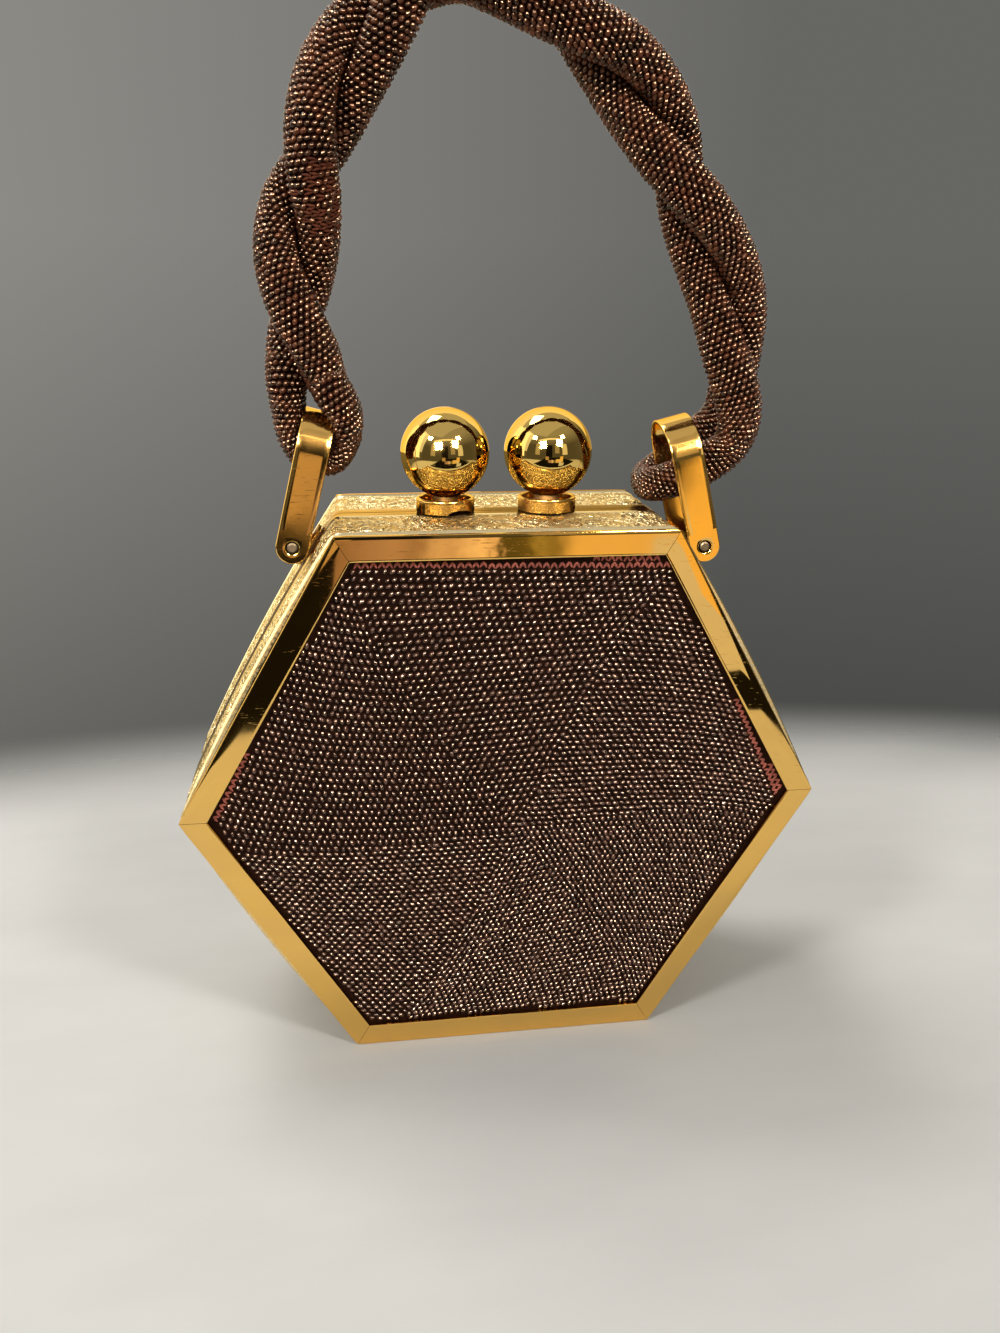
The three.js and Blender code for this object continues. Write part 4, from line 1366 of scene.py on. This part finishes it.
def link_faces(foot_count, row_count):
    """Quads of the flat strip and its edge loops; the rows at both ends share the tops of the feet."""
    around = foot_count // LINK_RINGS
    foot = grid_quads(LINK_RINGS, around, False, True)
    strip = grid_quads(row_count, LINK_COLUMNS, False, False) + foot_count
    other = foot[:, ::-1] + foot_count + row_count * LINK_COLUMNS
    quads = np.vstack([foot, strip[:, ::-1], other])
    top = around - (LINK_COLUMNS - 1)
    rim = (LINK_RINGS - 1) * around + np.arange(0, top + 1)
    second = foot_count + row_count * LINK_COLUMNS
    left = foot_count + np.arange(row_count) * LINK_COLUMNS
    right = left + LINK_COLUMNS - 1
    loop = np.concatenate([rim[:-1], left[:-1], (second + rim)[::-1][:-1], right[::-1][:-1]])
    holes = [np.arange(around), second + np.arange(around)[::-1]]
    return quads, loop, holes


def link_bent(flat, offset):
    """Flat strip bent to the U: y and height from the place along it, x from the place across it."""
    leg, middle, length = link_run()
    u, s = flat[:, 0], flat[:, 1]
    angle = np.clip((s - leg) / middle, 0, np.pi)
    radius = middle + offset
    y = -radius * np.cos(angle)
    z = leg + radius * np.sin(angle)
    z = np.where(s < leg, s, np.where(s > length - leg, length - s, z))
    return np.stack([u, y, z], 1)


def link_mesh_data():
    """Closed strip with rounded edges: layers joined along the outline and round the holes."""
    outer = LINK_THICK / 2
    round_edge = [(LINK_EDGE * (1 - math.sin(a)), outer - LINK_EDGE * (1 - math.cos(a)))
                  for a in np.linspace(0, np.pi / 2, LINK_EDGE_STEPS)]
    layers = round_edge + [(inset, -offset) for inset, offset in reversed(round_edge)]
    points, counts = [], None
    for inset, offset in layers:
        flat, *counts = link_flat(inset)
        points.append(link_bent(flat, offset))
    quads, loop, holes = link_faces(*counts)
    count = len(points[0])
    last = len(layers) - 1
    faces = [quads, quads[:, ::-1] + last * count]
    for ring in (loop, *holes):
        beside = np.roll(ring, -1)
        for layer in range(last):
            low, high = layer * count, (layer + 1) * count
            faces.append(np.stack([ring + high, beside + high, beside + low, ring + low], 1))
    return np.vstack(points), np.vstack(faces)


def weld(points, faces, decimals=4):
    """The same mesh with points in the same place made one."""
    _, first, which = np.unique(np.round(points, decimals), axis=0, return_index=True, return_inverse=True)
    return points[first], which.ravel()[faces]


def leaned(points, hand, mirror):
    """Points of the right link's frame, leaned inward and set on the left or right pivot."""
    cos, sin = math.cos(LINK_LEAN), math.sin(LINK_LEAN)
    x, y, z = points.T
    pivot_x, pivot_z = PIVOTS[hand]
    return np.stack([pivot_x + mirror * (cos * x - sin * z), y, pivot_z + sin * x + cos * z], 1)


class HANDBAG_OT_links(bpy.types.Operator):
    """Flat gold strips bent to a U, with the rivets that they hang on and the lugs behind them"""

    bl_idname = "handbag.links"
    bl_label = "Handle links"

    def execute(self, context):
        for hand, mirror in (("left", -1), ("right", 1)):
            points, faces = weld(*link_mesh_data())
            points = leaned(points, hand, mirror)
            add_piece(f"handle_strip_{hand}", points, facing_out(points, faces), LINK_SHARP, "back_half",
                      "gold_polished", ["link_gold"], [f"handle_link_{hand}"])
            self.add_rivet(hand)
            dress_node(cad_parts[f"handle_lug_{hand}"], "link_gold", LUG_EDGE)
        return {"FINISHED"}

    def add_rivet(self, hand):
        """Rivet with eased ends, through the lug and both legs of a link."""
        end, flat = RIVET_HALF_LENGTH, RIVET_FLAT * RIVET_RADIUS
        profile = [(0, -end), (flat, -end), (RIVET_RADIUS, RIVET_EDGE - end)]
        profile += [(RIVET_RADIUS, end - RIVET_EDGE), (flat, end), (0, end)]
        points, faces = turned_mesh(profile, RIVET_SIDES)
        points = points[:, [0, 2, 1]] + (PIVOTS[hand][0], 0, PIVOTS[hand][1])
        add_piece(f"handle_rivet_{hand}", points, facing_out(points, *faces), RIVET_SHARP, "back_half",
                  "rivet_steel", ["rivet_metal"], [f"link_rivet_{hand}"])


def dress_node(node, finish, edge):
    """Gives a frame node its finish and eases its edges."""
    node.data.materials.clear()
    node.data.materials.append(finish_of(finish))
    smooth(node.data, LINK_SHARP)
    bevel = node.modifiers.new("eased_edges", "BEVEL")
    bevel.width = edge * MM
    bevel.segments = 2
    bevel.limit_method = "ANGLE"
    bevel.angle_limit = math.radians(EASED_FROM)


class HANDBAG_OT_hinge(bpy.types.Operator):
    """Leaves and pin of the hinge under the bag"""

    bl_idname = "handbag.hinge"
    bl_label = "Bottom hinge"

    def execute(self, context):
        for name in ("hinge_leaf_front", "hinge_leaf_back"):
            dress_node(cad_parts[name], "collar_gold", HINGE_LEAF_EDGE)
        dress_node(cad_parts["hinge_pin"], "rivet_metal", HINGE_PIN_EDGE)
        return {"FINISHED"}


# Rope handle


def spline(points, closed, t):
    """Centripetal Catmull-Rom curve through the points, at shares t of the way."""
    count = len(points)
    place = np.asarray(t, float) * (count if closed else count - 1)
    start = np.minimum(np.floor(place).astype(int), count - (1 if closed else 2))
    share = (place - start)[:, None]
    if closed:
        p0, p1, p2, p3 = (points[(start + k) % count] for k in (-1, 0, 1, 2))
    else:
        longer = np.vstack([2 * points[0] - points[1], points, 2 * points[-1] - points[-2]])
        p0, p1, p2, p3 = (longer[start + k] for k in range(4))
    d0, d1, d2 = (np.sqrt(np.linalg.norm(b - a, axis=1))[:, None] for a, b in ((p0, p1), (p1, p2), (p2, p3)))
    d1 = np.where(d1 < SMALL_GAP, 1, d1)
    d0 = np.where(d0 < SMALL_GAP, d1, d0)
    d2 = np.where(d2 < SMALL_GAP, d1, d2)
    m1 = ((p1 - p0) / d0 - (p2 - p0) / (d0 + d1) + (p2 - p1) / d1) * d1
    m2 = ((p2 - p1) / d1 - (p3 - p1) / (d1 + d2) + (p3 - p2) / d2) * d1
    a = -3 * p1 + 3 * p2 - 2 * m1 - m2
    b = 2 * p1 - 2 * p2 + m1 + m2
    return p1 + m1 * share + a * share ** 2 + b * share ** 3


def rope_stations():
    """Rows of the closed tube: middle, direction away from the rope's middle, and two half sizes."""
    t = np.linspace(0, 1, TWIST_STATIONS + 1)
    line = np.stack([ROPE_LINE[:, 0], np.zeros(len(ROPE_LINE)), ROPE_LINE[:, 1]], 1)
    middle = spline(line, False, t)
    after, before = np.minimum(t + SMALL_STEP, 1), np.maximum(t - SMALL_STEP, 0)
    ahead = unit(spline(line, False, after) - spline(line, False, before))
    twist = np.radians(spline(ROPE_LINE[:, 2:], False, t)[:, 0])
    passes = []
    for phase in (0, np.pi):
        cos, sin = np.cos(twist + phase), np.sin(twist + phase)
        out = np.stack([-ahead[:, 2] * cos, sin, ahead[:, 0] * cos], 1)
        sizes = np.tile([STRAND_RADIAL, STRAND_ACROSS], (len(t), 1))
        passes.append(np.hstack([middle + STRAND_OFFSET * out, out, sizes]))
    turns = []
    for rows in (RIGHT_TURN, LEFT_TURN):
        rows = rows.copy()
        rows[:, 3:6] = unit(rows[:, 3:6])
        turns.append(rows)
    return np.vstack([passes[0], turns[0], passes[1][::-1], turns[1]])


class Rope:
    """The closed tube, measured along its middle, and along the outside of its bends for the bead rows."""

    def __init__(self):
        rows = rope_stations()
        self.centres, self.outs, self.sizes = rows[:, :3], rows[:, 3:6], rows[:, 6:]
        self.t = np.linspace(0, 1, ROPE_SAMPLES)
        line = spline(self.centres, True, self.t)
        steps = np.linalg.norm(np.diff(line, axis=0), axis=1)
        self.run = np.concatenate([[0], np.cumsum(steps)])
        self.length = self.run[-1]
        self.twist = np.zeros(len(self.t))
        _, tangent, out, side, _ = self.frame_at(self.run[:-1])
        carried = out[0]
        for k in range(len(tangent)):
            carried = carried - tangent[k] * (carried @ tangent[k])
            carried = carried / np.linalg.norm(carried)
            self.twist[k] = math.atan2(carried @ side[k], carried @ out[k])
        self.twist[-1] = self.twist[-2]
        self.twist = np.unwrap(self.twist) / (2 * np.pi)
        whole = self.twist[-1] - self.twist[0]
        self.twist = self.twist + (round(whole) - whole) * self.run / self.length
        bends = np.linalg.norm(np.roll(tangent, -1, axis=0) - tangent, axis=1)
        self.outer_run = np.concatenate([[0], np.cumsum(steps + BEND_SPREAD * bends)])

    def frame_at(self, along):
        """Middle, tangent, outward and sideways directions and half sizes at places along the tube."""
        t = np.interp(along % self.length, self.run, self.t)
        centre = spline(self.centres, True, t)
        after, before = (spline(self.centres, True, (t + move) % 1) for move in (SMALL_STEP, -SMALL_STEP))
        tangent = unit(after - before)
        out = spline(self.outs, True, t)
        out = unit(out - tangent * (out * tangent).sum(1, keepdims=True))
        return centre, tangent, out, np.cross(tangent, out), spline(self.sizes, True, t)

    def surface(self, along, share, shrink):
        """Places at shares of the way round the tube, inside its skin by shrink, with normals and tangents.

        Shares count from a line along the tube that does not wind about it."""
        centre, tangent, out, side, sizes = self.frame_at(along)
        sizes = sizes - shrink
        share = (share + np.interp(along % self.length, self.run, self.twist)) % 1
        steps = np.linspace(0, 2 * np.pi, RING_SAMPLES)
        ring_x, ring_y = sizes[:, :1] * np.cos(steps), sizes[:, 1:] * np.sin(steps)
        lengths = np.hypot(np.diff(ring_x, axis=1), np.diff(ring_y, axis=1))
        run = np.cumsum(lengths, axis=1)
        run = np.hstack([np.zeros((len(run), 1)), run]) / run[:, -1:]
        angle = np.array([np.interp(s, row, steps) for s, row in zip(share, run)])
        cos, sin = np.cos(angle)[:, None], np.sin(angle)[:, None]
        place = centre + out * sizes[:, :1] * cos + side * sizes[:, 1:] * sin
        return place, unit(out * cos / sizes[:, :1] + side * sin / sizes[:, 1:]), tangent


class HANDBAG_OT_rope(bpy.types.Operator):
    """Stuffed crochet tube of the handle, twisted on itself, with a seed bead on nearly every stitch"""

    bl_idname = "handbag.rope"
    bl_label = "Rope handle"

    def execute(self, context):
        sizes = context.scene.bag_sizes
        rope = Rope()
        row_height = sizes.rope_pitch / MM * math.cos(math.pi / 6)
        turns = round(rope.outer_run[-1] / row_height)
        self.add_core(rope, turns)
        self.cover_with_beads(rope, turns, sizes)
        return {"FINISHED"}

    def add_core(self, rope, turns):
        """Padded tube under the beads, in the near-black rope ground that paints the shade between them."""
        along = np.repeat(np.arange(turns) * rope.length / turns, CORE_SIDES)
        share = np.tile(np.arange(CORE_SIDES) / CORE_SIDES, turns)
        points, _, _ = rope.surface(along, share, BEAD_SEAT)
        faces = facing_out(points, grid_quads(turns, CORE_SIDES, True, True))
        piece = add_piece("handle_rope_core", points, faces, ROPE_SHARP, "back_half", "bead_rope",
                          ["rope_ground"], ["handle_rope"])

    def cover_with_beads(self, rope, turns, sizes):
        """Beads in rows that wind round the tube, and bare stitches where they are worn off."""
        chance = np.random.default_rng(SEED)
        count = int(turns * BEADS_PER_TURN)
        number = np.arange(count)
        along = np.interp(number / count * rope.outer_run[-1], rope.outer_run, rope.run)
        share = (number / BEADS_PER_TURN) % 1
        place, normal, tangent = rope.surface(along, share, BEAD_SEAT)
        around = np.cross(normal, tangent)
        bare = self.in_bare_patch(place, normal, chance)
        lean = ROPE_BEAD_LEAN + chance.normal(0, ROPE_LEAN_SPREAD, count)
        axis = around * np.cos(lean)[:, None] + tangent * np.sin(lean)[:, None]
        up = unit(normal + chance.normal(0, ROPE_TIP_SPREAD, normal.shape))
        half_sizes = bead_half_sizes(
            sizes.rope_bead_length, sizes.rope_bead_width, ROPE_BEAD_HEIGHT, ROPE_SIZE_SPREAD, count, chance)
        tone = chance.beta(*ROPE_TONES, count)
        quarter = (4 * along / rope.length).astype(int)
        for index, letter in enumerate("abcd"):
            chosen = (quarter == index) & ~bare
            beads = (values[chosen] for values in (place, axis, up, half_sizes, tone))
            add_beads(f"handle_rope_beads_{letter}", ROPE_BEAD, *beads,
                      "back_half", "bead_rope", "rope_beads")
        legs = self.stitch_legs(place[bare], normal[bare], tangent[bare], around[bare])
        add_stitches("handle_rope_stitches", legs, ROPE_STITCH_HALF_SIZES,
                     "back_half", "bead_rope", "rope_thread")

    def in_bare_patch(self, place, normal, chance):
        """Stitches that carry no bead: a worn patch at the front of the left side."""
        offset = place - BARE_PATCH
        reach = np.hypot(offset[:, 2] / BARE_PATCH_HALF_LENGTH, offset[:, 0] / BARE_PATCH_HALF_WIDTH)
        worn = chance.random(len(place)) < np.clip(BARE_PATCH_FADE - reach, 0, BARE_PATCH_SHARE)
        return worn & (normal[:, 1] < BARE_PATCH_FACING) & (np.abs(offset[:, 1]) < BARE_PATCH_HALF_DEPTH)

    def stitch_legs(self, place, normal, tangent, around):
        """Both legs of the bare stitches, side by side along the tube."""
        return [
            (place + ROPE_STITCH_SPREAD * lean * tangent, around + ROPE_STITCH_SLANT * lean * tangent, normal)
            for lean in (-1, 1)
        ]


# Stage: floor, room light, lamps and camera

FLOOR_HALF_SIZE = 1.2
FLOOR_MIDDLE = 0.22
FLOOR_NARROW = 0.6
FLOOR_SOLID_TO = 0.355
FLOOR_GONE_FROM = 0.46

# Room around the bag: wall behind it at the right and left, what darkens that low down, front, and overhead
WALL_RIGHT = (0.135, 0.135, 0.127)
WALL_LEFT = (0.30, 0.288, 0.265)
WALL_LOW = (0.45, 0.46, 0.45)
ROOM_FRONT = (0.10, 0.092, 0.075)
ROOM_ABOVE = (0.36, 0.345, 0.32)

# Lights, and where they aim: place, size, and the setting that holds their power
LAMP_AIM = (0, 0, 0.12)
LAMPS = (
    ("ceiling_light", (-0.2, 0.2, 1.7), (3.0, 2.4), "ceiling"),
    ("back_light", (-0.5, 0.48, 1.6), (0.7, 0.5), "back"),
    ("side_light", (-1.5, -0.1, 0.9), (1.3, 1.3), "side"),
    ("left_lamp", (-0.95, -0.75, 1.15), (0.26, 0.2), "lamps"),
    ("right_lamp", (0.75, -0.95, 1.2), (0.26, 0.2), "lamps"),
)

# Cards for the metal to reflect: corner, two sides, and colour, which is None where it is streaked.
# They show to rays that have been reflected fewer times than CARD_DEPTH.
CARD_DEPTH = 1.5
CARDS = (
    ("table_end", (-0.28, -1.3, 0.002), (0.80, 0, 0), (0, 1.035, 0), (0.010, 0.009, 0.006)),
    ("streaked_card_low", (-0.058, -0.45, 0.0), (0.33, 0, 0), (0, 0, 0.0625), None),
    ("streaked_card_mid", (0.104, -0.45, 0.0625), (0.168, 0, 0), (0, 0, 0.0155), None),
    ("streaked_card_high", (0.196, -0.45, 0.078), (0.075, 0, 0), (0, 0, 0.05), None),
    ("orange_card", (-0.110, -0.45, 0.0625), (0.065, 0, 0), (0, 0, 0.07), (0.58, 0.40, 0.24)),
    ("pale_card", (0.100, -0.24, 0.035), (0.068, 0, 0), (0, 0, 0.040), (0.74, 0.72, 0.72)),
    ("pale_card_high", (0.100, -0.24, 0.075), (0.027, 0, 0), (0, 0, 0.030), (0.78, 0.75, 0.72)),
    ("back_card_left", (-1.3, 0.9, 0.05), (1.4, 0, 0), (0, 0, 0.37), (1.35, 1.16, 0.80)),
    ("back_card_right", (0.1, 0.9, 0.05), (1.2, 0, 0), (0, 0, 0.37), (0.50, 0.43, 0.30)),
    ("back_card", (-1.3, 0.9, 0.42), (2.6, 0, 0), (0, 0, 1.1), (1.2, 1.1, 0.92)),
    ("left_card", (-1.0, -0.3, 0.05), (0, 1.3, 0), (0, 0, 1.1), (1.7, 1.6, 1.38)),
    ("room_figure", (-0.22, -0.9, 0.06), (0.26, 0, 0), (0, 0, 0.5), (0.008, 0.007, 0.006)),
    ("room_door", (-0.85, -0.95, 0.15), (0.30, 0, 0), (0, 0, 0.62), (0.50, 0.44, 0.34)),
    ("room_shelf", (0.16, -0.95, 0.22), (0.20, 0, 0), (0, 0, 0.34), (0.42, 0.37, 0.28)),
    ("room_window", (0.52, -0.95, 0.14), (0.34, 0, 0), (0, 0, 0.55), (0.85, 0.80, 0.70)),
    ("room_lamp_row", (-0.7, -0.9, 0.86), (1.2, 0, 0), (0, 0, 0.10), (1.4, 1.3, 1.1)),
)

# Small bright cards for the beads to glint with
GLINT_CARDS = (
    ("glint_card_left", (-0.8, -1.3, 0.55), (0.5, 0, 0), (0, 0.15, 0.4), (130, 108, 86)),
    ("glint_card_right", (0.35, -1.3, 0.65), (0.4, 0, 0), (0, 0.15, 0.4), (105, 82, 60)),
)

# Streaks along X of the card that the top strip and the right link reflect: place in metres, colour
STREAKS = (
    (-0.050, (0.36, 0.23, 0.19)), (-0.017, (0.56, 0.38, 0.32)), (-0.002, (0.40, 0.26, 0.20)),
    (0.013, (0.80, 0.60, 0.50)), (0.022, (0.70, 0.50, 0.42)), (0.042, (1.05, 0.82, 0.68)),
    (0.052, (0.84, 0.62, 0.50)), (0.057, (0.11, 0.09, 0.03)), (0.074, (0.15, 0.12, 0.04)),
    (0.083, (0.42, 0.34, 0.12)), (0.096, (0.26, 0.20, 0.07)), (0.106, (0.94, 0.66, 0.28)),
    (0.188, (0.94, 0.66, 0.28)), (0.202, (1.05, 0.70, 0.22)),
)


def floor_material(colours):
    """Pale and faintly mottled, fading out behind the bag so that the wall shows."""
    tree, shader = new_material("floor", Roughness=0.9, Specular_IOR_Level=0)
    place = add_node(tree, "ShaderNodeTexCoord")
    mapping = add_node(tree, "ShaderNodeMapping", Location=(0, FLOOR_MIDDLE, 0), Scale=(FLOOR_NARROW, 1, 1))
    length = add_node(tree, "ShaderNodeVectorMath", {"operation": "LENGTH"})
    tree.links.new(place.outputs["Object"], mapping.inputs["Vector"])
    tree.links.new(mapping.outputs["Vector"], length.inputs[0])
    fade = add_node(tree, "ShaderNodeMapRange", {"interpolation_type": "SMOOTHSTEP"},
                    From_Min=FLOOR_SOLID_TO, From_Max=FLOOR_GONE_FROM, To_Min=1, To_Max=0)
    tree.links.new(length.outputs["Value"], fade.inputs["Value"])
    tree.links.new(fade.outputs["Result"], shader.inputs["Alpha"])
    mottle = rescale(tree, noise(tree, 14, 5, stretch=(1, 2.5, 1)), 0.3, 0.7, 0, 1)
    worn = tuple(0.93 * part for part in colours.floor)
    tree.links.new(mix_colour(tree, mottle, colours.floor, worn), shader.inputs["Base Color"])


def room_light(strength):
    """World light: grey wall behind the bag, a dim room in front of it and a pale one above."""
    world = bpy.data.worlds.new("room")
    bpy.context.scene.world = world
    tree, output = empty_tree(world, "ShaderNodeOutputWorld")
    light = add_node(tree, "ShaderNodeBackground", Strength=strength)
    place = add_node(tree, "ShaderNodeTexCoord")
    axes = add_node(tree, "ShaderNodeSeparateXYZ")
    tree.links.new(place.outputs["Generated"], axes.inputs["Vector"])
    left = rescale(tree, axes.outputs["X"], 0.35, -0.45, 0, 1)
    wall = mix_colour(tree, left, WALL_RIGHT, WALL_LEFT)
    low = rescale(tree, axes.outputs["Z"], 0.05, -0.42, 0, 1)
    wall = mix_colour(tree, low, wall, WALL_LOW, "MULTIPLY")
    front = rescale(tree, axes.outputs["Y"], 0.15, -0.45, 0, 1)
    room = mix_colour(tree, front, wall, ROOM_FRONT)
    overhead = rescale(tree, axes.outputs["Z"], 0.35, 0.75, 0, 1)
    sky = mix_colour(tree, overhead, room, ROOM_ABOVE)
    tree.links.new(sky, light.inputs["Color"])
    tree.links.new(light.outputs["Background"], output.inputs["Surface"])


def add_lamp(name, place, size, power):
    """Soft light aimed at the bag."""
    data = bpy.data.lights.new(name, "AREA")
    data.shape = "RECTANGLE"
    data.size, data.size_y = size
    data.energy = power
    lamp = add_object(name, data)
    lamp.location = place
    lamp.rotation_euler = (Vector(LAMP_AIM) - Vector(place)).to_track_quat("-Z", "Y").to_euler()


def streak_colours(tree):
    """Bands of colour along X with uneven edges, as a cluttered room makes in polished metal."""
    place = add_node(tree, "ShaderNodeTexCoord")
    axes = add_node(tree, "ShaderNodeSeparateXYZ")
    tree.links.new(place.outputs["Object"], axes.inputs["Vector"])
    uneven = rescale(tree, noise(tree, 160, 3), 0.3, 0.7, -0.006, 0.006)
    across = combine(tree, "ADD", axes.outputs["X"], uneven)
    low, high = STREAKS[0][0], STREAKS[-1][0]
    ramp = add_node(tree, "ShaderNodeValToRGB")
    tree.links.new(rescale(tree, across, low, high, 0, 1), ramp.inputs["Fac"])
    stops = ramp.color_ramp.elements
    for stop, (_, colour) in zip(stops, (STREAKS[0], STREAKS[-1])):
        stop.color = (*colour, 1)
    for x, colour in STREAKS[1:-1]:
        stops.new((x - low) / (high - low)).color = (*colour, 1)
    return ramp.outputs["Color"]


def add_card(name, corner, across, up, colour):
    """Card from one corner and two sides that shows only in first reflections, as a studio reflector."""
    corner, across, up = (np.array(side) for side in (corner, across, up))
    points = np.array([corner, corner + across, corner + across + up, corner + up]) / MM
    mesh = build_mesh(name, points, np.array([[0, 1, 2, 3]]))
    material = bpy.data.materials.new(name)
    tree, output = empty_tree(material, "ShaderNodeOutputMaterial")
    glow = add_node(tree, "ShaderNodeEmission", Color=(*(colour or (1, 1, 1)), 1))
    if not colour:
        tree.links.new(streak_colours(tree), glow.inputs["Color"])
    path = add_node(tree, "ShaderNodeLightPath")
    seen = combine(tree, "LESS_THAN", path.outputs["Ray Depth"], CARD_DEPTH)
    tree.links.new(seen, glow.inputs["Strength"])
    tree.links.new(glow.outputs["Emission"], output.inputs["Surface"])
    mesh.materials.append(material)
    card = add_object(name, mesh)
    for kind in ("camera", "diffuse", "transmission", "volume_scatter", "shadow"):
        setattr(card, f"visible_{kind}", False)


class HANDBAG_OT_stage(bpy.types.Operator):
    """Pale floor, soft studio light, cards for the gold to reflect, and the camera"""

    bl_idname = "handbag.stage"
    bl_label = "Stage"

    def execute(self, context):
        colours, lights = context.scene.bag_colours, context.scene.bag_lights
        self.add_floor(colours)
        room_light(lights.room)
        for name, place, size, setting in LAMPS:
            add_lamp(name, place, size, getattr(lights, setting))
        for card in CARDS + GLINT_CARDS:
            add_card(*card)
        context.scene.view_settings.view_transform = "Standard"
        self.add_camera(context)
        return {"FINISHED"}

    def add_floor(self, colours):
        """Level sheet under the bag."""
        far = FLOOR_HALF_SIZE / MM
        points = np.array([(-far, -far, 0), (far, -far, 0), (far, far, 0), (-far, far, 0)])
        mesh = build_mesh("floor", points, np.array([[0, 1, 2, 3]]))
        floor_material(colours)
        mesh.materials.append(bpy.data.materials["floor"])
        floor = add_object("floor", mesh)

    def add_camera(self, context):
        """Camera at the photograph's viewing angle."""
        data = bpy.data.cameras.new("camera")
        data.sensor_width = SENSOR
        data.lens = FOCAL_PIXELS * SENSOR / IMAGE_HEIGHT
        data.clip_start = CLIP_START
        camera = add_object("camera", data)
        yaw, pitch, roll = (math.radians(a) for a in (CAMERA_YAW, CAMERA_PITCH, CAMERA_ROLL))
        ahead = Vector((math.sin(yaw) * math.cos(pitch), math.cos(yaw) * math.cos(pitch), -math.sin(pitch)))
        level = Vector((math.cos(yaw), -math.sin(yaw), 0))
        down = ahead.cross(level)
        right = math.cos(roll) * level + math.sin(roll) * down
        down = math.cos(roll) * down - math.sin(roll) * level
        turn = Matrix((right, -down, -ahead)).transposed().to_4x4()
        camera.matrix_world = Matrix.Translation(Vector(CAMERA_PLACE) * MM) @ turn
        context.scene.camera = camera


OPERATORS = (
    HANDBAG_OT_stage,
    HANDBAG_OT_bezels,
    HANDBAG_OT_gussets,
    HANDBAG_OT_bead_cloths,
    HANDBAG_OT_panel_beads,
    HANDBAG_OT_clasp,
    HANDBAG_OT_links,
    HANDBAG_OT_hinge,
    HANDBAG_OT_rope,
)


class HANDBAG_PT_sidebar(bpy.types.Panel):
    """Sizes, colours and steps of the handbag"""

    bl_idname = "HANDBAG_PT_sidebar"
    bl_label = "Handbag"
    bl_space_type = "VIEW_3D"
    bl_region_type = "UI"
    bl_category = "Handbag"

    def draw(self, context):
        for settings in (context.scene.bag_sizes, context.scene.bag_colours, context.scene.bag_lights):
            box = self.layout.box()
            for label in settings.__annotations__:
                box.prop(settings, label)
        for operator in OPERATORS:
            self.layout.operator(operator.bl_idname)


SETTINGS = {"bag_sizes": BagSizes, "bag_colours": BagColours, "bag_lights": BagLights}


def register():
    for kind in (*SETTINGS.values(), *OPERATORS, HANDBAG_PT_sidebar):
        bpy.utils.register_class(kind)
    for label, kind in SETTINGS.items():
        setattr(bpy.types.Scene, label, PointerProperty(type=kind))


def unregister():
    for label in SETTINGS:
        delattr(bpy.types.Scene, label)
    for kind in reversed((*SETTINGS.values(), *OPERATORS, HANDBAG_PT_sidebar)):
        bpy.utils.unregister_class(kind)


def main():
    """Builds everything in order."""
    register()
    for operator in OPERATORS:
        family, step = operator.bl_idname.split(".")
        getattr(getattr(bpy.ops, family), step)()


if __name__ == "__main__":
    main()
